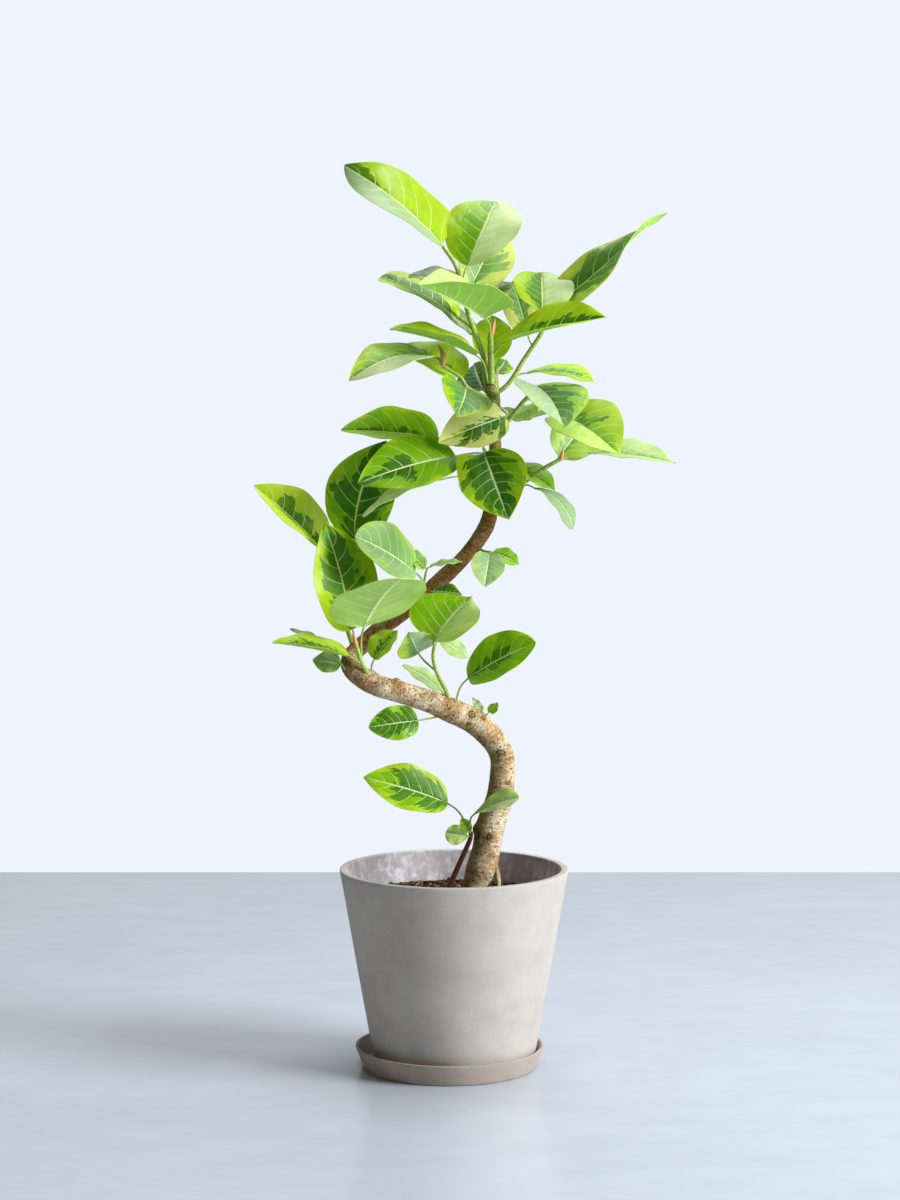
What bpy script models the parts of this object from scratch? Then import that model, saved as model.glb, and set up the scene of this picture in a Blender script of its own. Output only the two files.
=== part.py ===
"""A potted council tree: a variegated fig with an S-bent trunk in a grey pot on a saucer.

Metres, +Z up. The origin is on the pot's axis, on the floor under the saucer, and the front is -Y.
"""

import math
from dataclasses import dataclass

import bmesh
import bpy
from mathutils import Vector

# The pot, turned about Z
POT_RIM_RADIUS = 0.125
POT_BASE_RADIUS = 0.0868
POT_TOP = 0.2185
POT_WALL = 0.008
POT_FLOOR = 0.010
POT_EDGE_ROUND = 0.0022
DRAIN_HOLE_RADIUS = 0.010

# The saucer under it, a little off the pot's axis as it stands in use
SAUCER_SHIFT = -0.005
SAUCER_RIM_RADIUS = 0.103
SAUCER_BASE_RADIUS = 0.0952
SAUCER_HEIGHT = 0.0235
SAUCER_WALL = 0.0030
SAUCER_FLOOR = 0.0042
SAUCER_FOOT_ROUND = 0.003

# The soil fills the pot to below its rim and rises slightly to the trunk
SOIL_EDGE_Z = 0.185
SOIL_RISE = 0.005
SOIL_RINGS = 3
TURNED_STEPS = 36

# Neighbours keep this gap, because meshes hold 32-bit numbers
GAP = 0.0003

# The leaf blades
BLADE_THICKNESS = 0.0008
BLADE_ROWS = 6
BLADE_COLUMNS = 4
SMALL_BLADE_ROWS = 5
SMALL_BLADE_COLUMNS = 2
SMALL_BLADE_WIDTH = 0.029
BLADE_BASE_ROUND = 0.58
BLADE_BASE_HALF_WIDTH = 0.0014
BLADE_TIP_HALF_WIDTH = 0.0006
EDGE_RELAX = 0.25
WAVES = 2.6
PETIOLE_RADIUS = 0.0013
PETIOLE_REACH = 0.07
PETIOLE_STEPS = 1
PETIOLE_SIDES = 0
TWIG_STEPS = 2
TWIG_SIDES = 1
TRUNK_SIDES = 4
TRUNK_STEP_POINTS = 1


@dataclass(frozen=True)
class Leaf:
    """One leaf: its petiole's root, the two ends of its blade, and how the blade is held.

    turn is how far the upper face is turned from the front to the blade's left, in degrees.
    fold lifts each half from flat, twist turns the blade along its length and curl its tip alone,
    and arch and bow bend the midrib up and to the left.
    lobe is how far the base's left and right shoulders reach back, skew moves the widest place
    to the tip, and point is 0.5 for a blunt tip and over 1 for a sharp one.
    """

    root: tuple
    base: tuple
    tip: tuple
    width: float
    turn: float = 0.0
    fold: float = 15.0
    arch: float = 0.05
    bow: float = 0.0
    twist: float = 0.0
    curl: float = 0.0
    lobe: tuple = (0.04, 0.04)
    skew: float = 0.86
    point: float = 0.86
    wave: float = 0.0015


@dataclass(frozen=True)
class LeafyStem:
    """A green stem with its leaves and its bud; a leaf straight from the bark has no stem."""

    leaves: dict
    stem: tuple = ()
    radii: tuple = (0.0025, 0.0018)
    bud: tuple = ()
    bud_radius: float = 0.002


# The trunk's middle line and radius, from the root in the soil to the fork under the crown
TRUNK_LINE = (
    ((0.0195, 0.004, 0.150), 0.0120),
    ((0.0205, 0.002, 0.184), 0.0120),
    ((0.0230, 0.000, 0.201), 0.0127),
    ((0.0290, 0.000, 0.216), 0.0163),
    ((0.0350, 0.000, 0.237), 0.0156),
    ((0.040, 0.000, 0.266), 0.0155),
    ((0.048, 0.000, 0.290), 0.0150),
    ((0.0515, 0.000, 0.305), 0.0145),
    ((0.053, 0.000, 0.328), 0.0135),
    ((0.0515, -0.001, 0.343), 0.0134),
    ((0.045, -0.002, 0.357), 0.0136),
    ((0.0325, -0.005, 0.371), 0.0139),
    ((0.0205, -0.008, 0.381), 0.0141),
    ((0.008, -0.012, 0.388), 0.0138),
    ((-0.010, -0.018, 0.3965), 0.0130),
    ((-0.030, -0.024, 0.4055), 0.0122),
    ((-0.063, -0.032, 0.4165), 0.0114),
    ((-0.082, -0.035, 0.4225), 0.0118),
    ((-0.099, -0.034, 0.431), 0.0114),
    ((-0.110, -0.029, 0.4405), 0.0106),
    ((-0.111, -0.019, 0.452), 0.0094),
    ((-0.099, -0.008, 0.464), 0.0091),
    ((-0.0825, 0.004, 0.479), 0.0087),
    ((-0.066, 0.012, 0.489), 0.0084),
    ((-0.046, 0.019, 0.504), 0.0084),
    ((-0.019, 0.026, 0.528), 0.0086),
    ((0.010, 0.031, 0.555), 0.0084),
    ((0.033, 0.033, 0.586), 0.0084),
    ((0.041, 0.031, 0.613), 0.0081),
    ((0.0445, 0.026, 0.646), 0.0074),
    ((0.0445, 0.020, 0.679), 0.0066),
    ((0.044, 0.011, 0.720), 0.0062),
    ((0.041, 0.006, 0.740), 0.0072),
    ((0.040, 0.005, 0.757), 0.0066),
)
# The cut stub beside the fork, the root that shows at the soil, and the swollen knots of old shoots
CUT_STUB = (((0.042, 0.005, 0.748), 0.0036), ((0.0465, 0.004, 0.764), 0.0033))
SURFACE_ROOT = (
    ((0.0400, -0.002, 0.230), 0.0055),
    ((0.0465, -0.005, 0.214), 0.0034),
    ((0.0485, -0.008, 0.200), 0.0027),
    ((0.0500, -0.011, 0.172), 0.0025),
)
KNOTS = (
    ((0.051, -0.0105, 0.347), 0.0050),
    ((0.041, -0.0125, 0.256), 0.0048),
    ((0.0235, 0.000, 0.262), 0.0052),
    ((0.006, -0.0005, 0.398), 0.0050),
    ((-0.062, -0.028, 0.427), 0.0045),
    ((-0.088, -0.030, 0.434), 0.0045),
    ((0.020, 0.026, 0.571), 0.0042),
    ((0.046, 0.001, 0.734), 0.0040),
)

STEMS = {
    "stem_crown_left": LeafyStem(
        stem=(
            (0.0365, 0.0075, 0.738),
            (0.0335, 0.0080, 0.757),
            (0.032, 0.0075, 0.774),
            (0.022, 0.004, 0.801),
            (0.014, 0.001, 0.825),
            (0.0075, -0.001, 0.852),
            (0.001, -0.003, 0.873),
            (-0.012, -0.005, 0.892),
        ),
        radii=(0.0036, 0.0020),
        leaves={
            "top": Leaf((-0.010, -0.005, 0.889), (-0.013, -0.005, 0.894), (-0.116, -0.025, 0.977),
                        0.094, turn=-60, fold=20, arch=0.03, bow=-0.02, twist=16, curl=75,
                        lobe=(0.04, 0.14), skew=0.54, point=0.70, wave=0.0003),
            "heart": Leaf((0.008, -0.001, 0.849), (0.0135, -0.005, 0.8715), (0.045, 0.045, 0.942),
                          0.088, turn=25, fold=12, arch=0.10, bow=-0.05, skew=1.1, point=0.60),
            "behind_heart": Leaf((0.009, 0.000, 0.843), (0.018, 0.015, 0.849), (0.051, 0.075, 0.921),
                                 0.064, turn=-10, fold=15),
            "small_back": Leaf((0.012, 0.001, 0.830), (0.026, 0.030, 0.836), (0.0625, 0.058, 0.8555),
                               0.050, turn=60, fold=10),
            "left": Leaf((0.022, 0.004, 0.802), (0.004, 0.006, 0.816), (-0.079, 0.045, 0.861),
                         0.065, turn=-69, fold=15, skew=1.2, point=0.48, curl=15),
            "left_pale": Leaf((0.0085, -0.001, 0.846), (0.004, -0.001, 0.850), (-0.049, 0.010, 0.860),
                              0.046, turn=-65, fold=15, arch=0.08),
            "left_back": Leaf((0.022, 0.004, 0.800), (0.017, 0.010, 0.799), (-0.032, 0.060, 0.839),
                              0.046, turn=-70, fold=12),
        },
    ),
    "stem_crown_right": LeafyStem(
        stem=(
            (0.0405, 0.001, 0.745),
            (0.0395, 0.000, 0.779),
            (0.039, -0.001, 0.797),
        ),
        radii=(0.0036, 0.0032),
        bud=((0.039, -0.001, 0.795), (0.041, -0.001, 0.803), (0.044, -0.001, 0.815)),
        bud_radius=0.0032,
        leaves={
            "underside": Leaf((0.039, -0.001, 0.794), (0.033, -0.018, 0.815), (-0.038, -0.088, 0.849),
                              0.104, turn=-92, fold=48, arch=0.02, lobe=(0.16, 0.04), skew=0.64, point=1.0),
            "behind_bud": Leaf((0.040, 0.001, 0.766), (0.042, 0.015, 0.771), (0.041, 0.052, 0.819),
                               0.046, turn=0, fold=15),
            "right": Leaf((0.040, 0.000, 0.773), (0.059, -0.005, 0.792), (0.162, -0.035, 0.816),
                          0.066, turn=62, fold=38, arch=0.02, twist=-16, skew=1.0),
        },
    ),
    "leaf_crown_low_left": LeafyStem(
        leaves={
            "leaf": Leaf((0.0365, 0.0005, 0.746), (0.023, -0.012, 0.776), (-0.068, -0.045, 0.803),
                         0.064, turn=-83, fold=27, arch=0.04),
        },
    ),
    "leaf_crown_back": LeafyStem(
        leaves={
            "leaf": Leaf((0.040, 0.008, 0.735), (0.032, 0.020, 0.738), (0.022, 0.072, 0.766),
                         0.050, turn=10, fold=15),
        },
    ),
    "leaf_crown_stub": LeafyStem(
        leaves={
            "leaf": Leaf((0.042, 0.007, 0.752), (0.047, 0.018, 0.757), (0.056, 0.048, 0.771),
                         0.026, turn=0, fold=15),
        },
    ),
    "stem_upper_left": LeafyStem(
        stem=(
            (0.040, 0.006, 0.729),
            (0.016, -0.006, 0.740),
            (0.006, -0.008, 0.753),
            (-0.012, -0.010, 0.764),
        ),
        radii=(0.0024, 0.0018),
        bud=((-0.012, -0.010, 0.764), (-0.012, -0.011, 0.776), (-0.017, -0.011, 0.788)),
        bud_radius=0.0028,
        leaves={
            "drooping": Leaf((-0.011, -0.010, 0.764), (-0.023, -0.010, 0.774), (-0.111, -0.055, 0.749),
                             0.066, turn=-62, fold=11, arch=0.12, twist=20),
            "behind_bud": Leaf((0.006, -0.008, 0.753), (0.008, 0.006, 0.752), (-0.0545, 0.044, 0.7875),
                               0.062, turn=-55, fold=15),
            "to_front": Leaf((0.016, -0.006, 0.740), (0.0125, -0.018, 0.741), (0.003, -0.080, 0.7115),
                             0.062, turn=12, fold=12, arch=0.10, lobe=(0.0, 0.08)),
        },
    ),
    "stem_upper_right": LeafyStem(
        stem=(
            (0.042, 0.008, 0.732),
            (0.059, 0.004, 0.746),
            (0.075, 0.003, 0.771),
            (0.0935, 0.003, 0.799),
            (0.096, 0.004, 0.808),
        ),
        radii=(0.0026, 0.0022),
        leaves={
            "cream_back": Leaf((0.085, 0.003, 0.786), (0.080, 0.040, 0.799), (0.064, 0.072, 0.857),
                               0.042, turn=-10, fold=15),
            "upright": Leaf((0.096, 0.004, 0.806), (0.095, 0.002, 0.823), (0.095, 0.050, 0.866),
                            0.072, turn=-8, fold=22),
            "reaching": Leaf((0.096, 0.004, 0.807), (0.112, 0.025, 0.833), (0.230, 0.030, 0.929),
                             0.059, turn=57, fold=20, arch=0.02, bow=-0.04, twist=50, curl=75,
                             skew=0.68, point=1.20),
            "low": Leaf((0.058, 0.004, 0.745), (0.079, 0.012, 0.757), (0.150, 0.012, 0.748),
                        0.047, turn=70, fold=12, arch=0.08, skew=2.0, point=0.36),
        },
    ),
    "stem_middle_right": LeafyStem(
        stem=(
            (0.044, 0.012, 0.698),
            (0.057, 0.004, 0.7045),
            (0.077, -0.002, 0.7285),
            (0.091, -0.003, 0.737),
            (0.106, -0.004, 0.726),
        ),
        radii=(0.0030, 0.0020),
        leaves={
            "big_front": Leaf((0.090, -0.003, 0.737), (0.088, -0.010, 0.743), (0.114, -0.105, 0.701),
                              0.086, turn=40, fold=22, arch=0.06, lobe=(0.04, 0.0)),
            "big_low": Leaf((0.105, -0.004, 0.727), (0.116, -0.010, 0.712), (0.174, -0.070, 0.671),
                            0.087, turn=43, fold=23, skew=0.72),
            "small_back": Leaf((0.078, -0.002, 0.729), (0.089, 0.018, 0.723), (0.055, 0.026, 0.709),
                               0.036, turn=60, fold=12),
            "pale_back": Leaf((0.100, -0.004, 0.732), (0.101, 0.026, 0.716), (0.050, 0.040, 0.720),
                              0.026, turn=70, fold=12),
        },
    ),
    "stem_lower_right": LeafyStem(
        stem=(
            (0.040, 0.031, 0.612),
            (0.055, 0.020, 0.6235),
            (0.077, 0.008, 0.640),
            (0.0965, 0.000, 0.654),
            (0.114, -0.003, 0.664),
        ),
        radii=(0.0028, 0.0022),
        bud=((0.114, -0.003, 0.663), (0.116, -0.004, 0.668), (0.1175, -0.004, 0.676)),
        bud_radius=0.0024,
        leaves={
            "upright": Leaf((0.1135, -0.002, 0.663), (0.113, 0.002, 0.667), (0.146, 0.035, 0.706),
                            0.060, turn=5, fold=28),
            "far_right": Leaf((0.113, -0.003, 0.663), (0.151, 0.000, 0.671), (0.237, -0.025, 0.661),
                              0.056, turn=68, fold=22, arch=0.03, point=1.1),
            "near_trunk": Leaf((0.060, 0.018, 0.627), (0.063, 0.018, 0.654), (0.109, 0.000, 0.630),
                               0.044, turn=60, fold=18),
            "arching": Leaf((0.066, 0.014, 0.632), (0.087, -0.005, 0.633), (0.128, -0.010, 0.5900),
                            0.033, turn=60, fold=1, arch=0.18, skew=1.7, point=0.36),
        },
    ),
    "leaf_cream_front": LeafyStem(
        leaves={
            "leaf": Leaf((0.045, 0.011, 0.722), (0.055, -0.004, 0.710), (-0.017, -0.046, 0.6835),
                         0.052, turn=-16, fold=16),
        },
    ),
    "leaf_hanging_front": LeafyStem(
        leaves={
            "leaf": Leaf((0.0446, 0.024, 0.656), (0.032, -0.042, 0.672), (0.0565, -0.106, 0.605),
                         0.075, turn=0, fold=12, arch=0.06, lobe=(0.02, 0.18)),
        },
    ),
    "leaf_left_high": LeafyStem(
        leaves={
            "leaf": Leaf((0.044, 0.021, 0.680), (-0.017, 0.006, 0.6865), (-0.122, 0.010, 0.6955),
                         0.072, turn=-57, fold=29, arch=0.02),
        },
    ),
    "leaf_left_long": LeafyStem(
        leaves={
            "leaf": Leaf((0.044, 0.023, 0.668), (0.002, -0.030, 0.6685), (-0.1015, -0.074, 0.6415),
                         0.070, turn=-35, fold=17, twist=12),
        },
    ),
    "leaf_left_narrow": LeafyStem(
        leaves={
            "leaf": Leaf((0.042, 0.030, 0.630), (-0.017, -0.022, 0.6425), (-0.0975, -0.036, 0.6035),
                         0.036, turn=-75, fold=0, arch=0.10),
        },
    ),
    "stem_elbow_back": LeafyStem(
        stem=(
            (-0.106, -0.016, 0.455),
            (-0.118, -0.004, 0.490),
            (-0.124, 0.002, 0.530),
            (-0.124, 0.004, 0.556),
        ),
        radii=(0.0028, 0.0020),
        leaves={
            "dark_upright": Leaf((-0.124, 0.004, 0.554), (-0.108, 0.008, 0.5775), (-0.073, 0.000, 0.684),
                                 0.078, turn=0, fold=15, bow=0.08),
            "far_left": Leaf((-0.124, 0.003, 0.548), (-0.142, -0.012, 0.568), (-0.2135, -0.030, 0.637),
                             0.074, turn=-50, fold=40, arch=0.02, twist=16),
        },
    ),
    "stem_elbow_front": LeafyStem(
        stem=(
            (-0.084, -0.036, 0.420),
            (-0.0985, -0.044, 0.4475),
            (-0.104, -0.044, 0.465),
        ),
        radii=(0.0026, 0.0022),
        bud=((-0.104, -0.044, 0.464), (-0.106, -0.044, 0.472), (-0.1085, -0.042, 0.480)),
        bud_radius=0.0026,
        leaves={
            "upright": Leaf((-0.103, -0.044, 0.461), (-0.109, -0.030, 0.483), (-0.138, -0.042, 0.597),
                            0.080, turn=-28, fold=21),
            "underside": Leaf((-0.099, -0.044, 0.449), (-0.096, -0.044, 0.487), (-0.0555, -0.120, 0.544),
                              0.108, turn=134, fold=5, point=0.60),
            "left": Leaf((-0.0955, -0.0425, 0.442), (-0.111, -0.050, 0.455), (-0.192, -0.075, 0.473),
                         0.050, turn=-80, fold=28, arch=0.02),
        },
    ),
    "sprig_inner_left": LeafyStem(
        stem=(
            (-0.030, 0.022, 0.517),
            (-0.0325, 0.008, 0.5285),
            (-0.0305, 0.002, 0.542),
        ),
        radii=(0.0016, 0.0012),
        leaves={
            "glossy": Leaf((-0.0325, 0.009, 0.528), (-0.0415, -0.005, 0.542), (-0.105, -0.065, 0.585),
                           0.064, turn=-43, fold=21, skew=1.20, point=0.50),
            "small_left": Leaf((-0.0305, 0.003, 0.541), (-0.031, 0.000, 0.547), (-0.054, -0.004, 0.566),
                               0.020, turn=-40, fold=10),
            "small_right": Leaf((-0.0305, 0.003, 0.541), (-0.026, 0.000, 0.548), (0.0085, -0.005, 0.5535),
                                0.018, turn=75, fold=10),
        },
    ),
    "leaf_inner_small": LeafyStem(
        leaves={
            "leaf": Leaf((-0.026, 0.024, 0.521), (-0.022, 0.012, 0.5195), (0.009, 0.022, 0.516),
                         0.034, turn=60, fold=10),
        },
    ),
    "sprig_inner_right": LeafyStem(
        stem=((0.022, 0.032, 0.568), (0.034, 0.022, 0.563), (0.040, 0.019, 0.563)),
        radii=(0.0016, 0.0012),
        leaves={
            "to_front": Leaf((0.038, 0.020, 0.563), (0.0385, 0.015, 0.562), (0.033, -0.014, 0.527),
                             0.038, turn=0, fold=15),
            "right": Leaf((0.039, 0.020, 0.563), (0.043, 0.022, 0.562), (0.071, 0.018, 0.549),
                          0.026, turn=50, fold=10),
        },
    ),
    "stem_limb": LeafyStem(
        stem=(
            (-0.001, -0.016, 0.395),
            (-0.010, -0.026, 0.418),
            (-0.019, -0.036, 0.438),
            (-0.0225, -0.042, 0.454),
            (-0.021, -0.046, 0.468),
        ),
        radii=(0.0024, 0.0018),
        leaves={
            "folded": Leaf((-0.021, -0.045, 0.466), (-0.0215, -0.045, 0.471), (0.020, 0.000, 0.517),
                           0.094, turn=38, fold=30, skew=0.70, point=1.50),
            "grey_left": Leaf((-0.019, -0.036, 0.438), (-0.0385, -0.028, 0.457), (-0.048, -0.050, 0.4815),
                              0.044, turn=-10, fold=10),
            "pale_back": Leaf((-0.021, -0.045, 0.465), (-0.014, -0.036, 0.471), (0.015, -0.030, 0.452),
                              0.024, turn=45, fold=10),
        },
    ),
    "leaf_limb_right": LeafyStem(
        leaves={
            "leaf": Leaf((0.000, -0.014, 0.393), (0.0155, -0.015, 0.4285), (0.0875, -0.042, 0.469),
                         0.061, turn=45, fold=21, skew=1.0, point=0.55),
        },
    ),
    "leaf_limb_back": LeafyStem(
        leaves={
            "leaf": Leaf((-0.008, -0.014, 0.398), (-0.014, 0.000, 0.413), (-0.056, 0.014, 0.4395),
                         0.026, turn=-60, fold=10),
        },
    ),
    "leaf_elbow_small": LeafyStem(
        leaves={
            "leaf": Leaf((-0.088, -0.030, 0.429), (-0.0855, -0.034, 0.451), (-0.0605, -0.026, 0.481),
                         0.040, turn=52, fold=22),
        },
    ),
    "leaf_elbow_end": LeafyStem(
        leaves={
            "leaf": Leaf((-0.110, -0.027, 0.4415), (-0.122, -0.032, 0.4455), (-0.152, -0.027, 0.449),
                         0.025, turn=-20, fold=10),
        },
    ),
    "leaf_elbow_top": LeafyStem(
        leaves={
            "leaf": Leaf((-0.112, -0.036, 0.433), (-0.134, -0.039, 0.459), (-0.1757, -0.034, 0.4835),
                         0.022, turn=-70, fold=10),
        },
    ),
    "leaf_limb_under": LeafyStem(
        leaves={
            "leaf": Leaf((-0.004, -0.017, 0.390), (-0.039, -0.032, 0.3845), (-0.091, -0.050, 0.3795),
                         0.039, turn=-15, fold=12, point=0.62),
        },
    ),
    "sprig_bend": LeafyStem(
        stem=((0.0325, -0.005, 0.374), (0.034, -0.010, 0.388)),
        radii=(0.0012, 0.0010),
        leaves={
            "left": Leaf((0.034, -0.010, 0.387), (0.0305, -0.010, 0.392), (0.020, -0.012, 0.407),
                         0.009, turn=0, fold=10),
            "right": Leaf((0.034, -0.010, 0.387), (0.038, -0.012, 0.391), (0.0475, -0.018, 0.402),
                          0.011, turn=0, fold=10),
        },
    ),
    "stem_side": LeafyStem(
        stem=(
            (-0.0165, -0.020, 0.150),
            (-0.0110, -0.020, 0.186),
            (-0.0038, -0.020, 0.2045),
            (0.0070, -0.020, 0.2295),
            (0.0170, -0.020, 0.2525),
            (0.0182, -0.021, 0.2620),
        ),
        radii=(0.0036, 0.0024),
        leaves={
            "left": Leaf((0.0180, -0.021, 0.2605), (-0.007, -0.018, 0.2925), (-0.097, -0.038, 0.324),
                         0.056, turn=-33, fold=17, twist=16, skew=0.95),
            "right": Leaf((0.0180, -0.021, 0.2600), (0.0225, -0.026, 0.2825), (0.0698, -0.040, 0.3015),
                          0.033, turn=62, fold=18, skew=1.75, point=0.40),
            "round": Leaf((0.0175, -0.021, 0.2565), (0.0145, -0.024, 0.2575), (-0.0090, -0.030, 0.262),
                          0.023, turn=0, fold=10, skew=1.30, point=0.45),
            "young": Leaf((0.0178, -0.022, 0.2600), (0.0165, -0.025, 0.2625), (0.0085, -0.028, 0.2775),
                          0.013, turn=0, fold=12, skew=1.0, point=0.60),
        },
    ),
}

FINISHES = {
    "pot": ("concrete_grey", (0.62, 0.60, 0.57), 0.85),
    "saucer": ("clay_grey", (0.58, 0.55, 0.52), 0.85),
    "soil": ("potting_soil", (0.07, 0.045, 0.03), 0.95),
    "trunk": ("bark_beige", (0.50, 0.38, 0.26), 0.8),
    "leaf": ("leaf_green", (0.20, 0.42, 0.06), 0.35),
}


def material(kind):
    """The Principled material of one kind of piece, made once."""
    name, colour, roughness = FINISHES[kind]
    found = bpy.data.materials.get(name)
    if found:
        return found
    made = bpy.data.materials.new(name)
    made.use_nodes = True
    shader = made.node_tree.nodes["Principled BSDF"]
    shader.inputs["Base Color"].default_value = (*colour, 1.0)
    shader.inputs["Roughness"].default_value = roughness
    shader.inputs["Metallic"].default_value = 0.0
    return made


def collection(name):
    made = bpy.data.collections.new(name)
    bpy.context.scene.collection.children.link(made)
    return made


def add_object(name, mesh, where, kind):
    made = bpy.data.objects.new(name, mesh)
    if not mesh.materials:
        mesh.materials.append(material(kind))
    where.objects.link(made)
    return made


def apply_modifiers(obj):
    """Replace the object's mesh by the one that its modifiers give."""
    bpy.context.view_layer.update()
    graph = bpy.context.evaluated_depsgraph_get()
    mesh = bpy.data.meshes.new_from_object(obj.evaluated_get(graph))
    obj.modifiers.clear()
    obj.data = mesh


def smooth_line(points, steps):
    """Points along a smooth curve through the given ones, with so many steps between each two."""
    rows = [Vector(p) for p in points]
    rows = [2 * rows[0] - rows[1], *rows, 2 * rows[-1] - rows[-2]]
    line = []
    for a, b, c, d in zip(rows, rows[1:], rows[2:], rows[3:]):
        for i in range(steps):
            t = i / steps
            line.append(
                0.5 * (2 * b + (c - a) * t + (2 * a - 5 * b + 4 * c - d) * t * t
                       + (3 * b - a - 3 * c + d) * t ** 3)
            )
    line.append(rows[-2])
    return line


def tube(name, points, radii, sides, where, kind):
    """A round tube along the points, as a mesh with welded caps."""
    curve = bpy.data.curves.new(name, "CURVE")
    curve.dimensions = "3D"
    curve.bevel_depth = 1.0
    curve.bevel_resolution = sides
    curve.use_fill_caps = True
    spline = curve.splines.new("POLY")
    spline.points.add(len(points) - 1)
    for point, place, radius in zip(spline.points, points, radii):
        point.co = (*place, 1.0)
        point.radius = radius
    guide = bpy.data.objects.new(name + "_guide", curve)
    where.objects.link(guide)
    bpy.context.view_layer.update()
    graph = bpy.context.evaluated_depsgraph_get()
    mesh = bpy.data.meshes.new_from_object(guide.evaluated_get(graph))
    made = add_object(name, mesh, where, kind)
    made.matrix_world = guide.matrix_world
    bpy.data.objects.remove(guide)
    cage = bmesh.new()
    cage.from_mesh(mesh)
    bmesh.ops.remove_doubles(cage, verts=cage.verts, dist=1e-6)
    cage.to_mesh(mesh)
    cage.free()
    return made


def tapered(name, line, steps, sides, where, kind):
    """A tube along a smooth line of (place, radius) pairs."""
    points = smooth_line([place for place, _ in line], steps)
    radii = [p.x for p in smooth_line([(radius, 0, 0) for _, radius in line], steps)]
    return tube(name, points, radii, sides, where, kind)


def turned(name, profile, where, kind, centre=(0, 0, 0)):
    """A profile of (radius, height) points turned about Z, which runs down its outer side."""
    mesh = bpy.data.meshes.new(name)
    cage = bmesh.new()
    corners = [cage.verts.new((radius, 0, height)) for radius, height in profile]
    for a, b in zip(corners, corners[1:]):
        cage.edges.new((a, b))
    if profile[0][0] > 0 and profile[-1][0] > 0:
        cage.edges.new((corners[-1], corners[0]))
    cage.to_mesh(mesh)
    cage.free()
    made = add_object(name, mesh, where, kind)
    made.location = centre
    screw = made.modifiers.new("turn", "SCREW")
    screw.steps = TURNED_STEPS
    screw.render_steps = TURNED_STEPS
    screw.use_merge_vertices = True
    screw.merge_threshold = 1e-5
    apply_modifiers(made)
    smooth(made)
    return made


def smooth(obj):
    obj.data.shade_smooth()
    obj.data.set_sharp_from_angle(angle=math.radians(40))


def join(obj, extra, operation="UNION", solver="EXACT"):
    """One Boolean with a whole collection, applied; the collection's objects are then removed."""
    modifier = obj.modifiers.new(operation.lower(), "BOOLEAN")
    modifier.operation = operation
    modifier.operand_type = "COLLECTION"
    modifier.collection = extra
    modifier.solver = solver
    apply_modifiers(obj)
    for part in list(extra.objects):
        bpy.data.objects.remove(part)
    bpy.data.collections.remove(extra)


def blade_axes(leaf):
    """The blade's length, its direction, and the front and left directions square to that."""
    base, tip = Vector(leaf.base), Vector(leaf.tip)
    along = (tip - base).normalized()
    front = Vector((0, -1, 0))
    front = (front - front.dot(along) * along).normalized()
    return (tip - base).length, along, front, front.cross(along)


def half_width(leaf, t):
    """Half the blade's width at t of its length: a round base, and a blunt tip."""
    power = BLADE_BASE_ROUND + (leaf.point - BLADE_BASE_ROUND) * t
    arc = math.sin(math.pi * t ** leaf.skew)
    narrowest = BLADE_BASE_HALF_WIDTH + (BLADE_TIP_HALF_WIDTH - BLADE_BASE_HALF_WIDTH) * t
    return max(leaf.width / 2 * max(arc, 0.0) ** power, narrowest)


def blade_point(leaf, t, u):
    """The place at t along the midrib and u across, from -1 at the right edge to 1 at the left."""
    length, along, front, left = blade_axes(leaf)
    angle = math.radians(leaf.turn + leaf.twist * (t - 0.5) + leaf.curl * t ** 4)
    up = math.cos(angle) * front + math.sin(angle) * left
    side = math.cos(angle) * left - math.sin(angle) * front
    hump = 4 * t * (1 - t) * length
    back = leaf.lobe[u < 0] * length * u * u * math.sin(math.pi * min(t / 0.34, 1.0))
    slope = math.atan(4 * (1 - 2 * t) * leaf.arch)
    raised = math.cos(slope) * up - math.sin(slope) * along
    across = half_width(leaf, t) * abs(u)
    fold = math.radians(leaf.fold)
    lift = across * math.sin(fold) * (1 - EDGE_RELAX * abs(u))
    lift += leaf.wave * u * u * math.sin(2 * math.pi * WAVES * t + 1.6 * math.copysign(1, u))
    middle = Vector(leaf.base) + (t * length - back) * along
    middle += hump * (leaf.arch * up + leaf.bow * side)
    return middle + math.copysign(across * math.cos(fold), u) * side + lift * raised


def blade(name, leaf, where):
    """The blade as a waved sheet of triangles, given its thickness evenly on both faces."""
    small = leaf.width < SMALL_BLADE_WIDTH
    rows = SMALL_BLADE_ROWS if small else BLADE_ROWS
    columns = SMALL_BLADE_COLUMNS if small else BLADE_COLUMNS
    cage = bmesh.new()
    bmesh.ops.create_grid(cage, x_segments=rows, y_segments=columns, size=1.0)
    for vert in cage.verts:
        share = (vert.co.x + 1) / 2
        t = 0.45 * share + 0.55 * (1 - math.cos(math.pi * share)) / 2
        vert.co = blade_point(leaf, t, vert.co.y)
    bmesh.ops.triangulate(cage, faces=cage.faces)
    mesh = bpy.data.meshes.new(name)
    cage.to_mesh(mesh)
    cage.free()
    made = add_object(name, mesh, where, "leaf")
    thick = made.modifiers.new("thickness", "SOLIDIFY")
    thick.thickness = BLADE_THICKNESS
    thick.offset = 0.0
    return made


def petiole(name, leaf, where):
    """The leaf's stalk, from its root to a little way along under the blade."""
    length, along, _, _ = blade_axes(leaf)
    root, base = Vector(leaf.root), Vector(leaf.base)
    bend = base - 0.35 * (base - root).length * along
    middle = 0.5 * (0.5 * (root + base) + bend)
    end = blade_point(leaf, PETIOLE_REACH, 0.0)
    points = smooth_line([root, middle, base, end], PETIOLE_STEPS)
    size = min(1.0, 0.45 + leaf.width / 0.08)
    radii = [PETIOLE_RADIUS * size * (1.0 - 0.25 * i / (len(points) - 1)) for i in range(len(points))]
    return tube(name, points, radii, PETIOLE_SIDES, where, "leaf")


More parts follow.
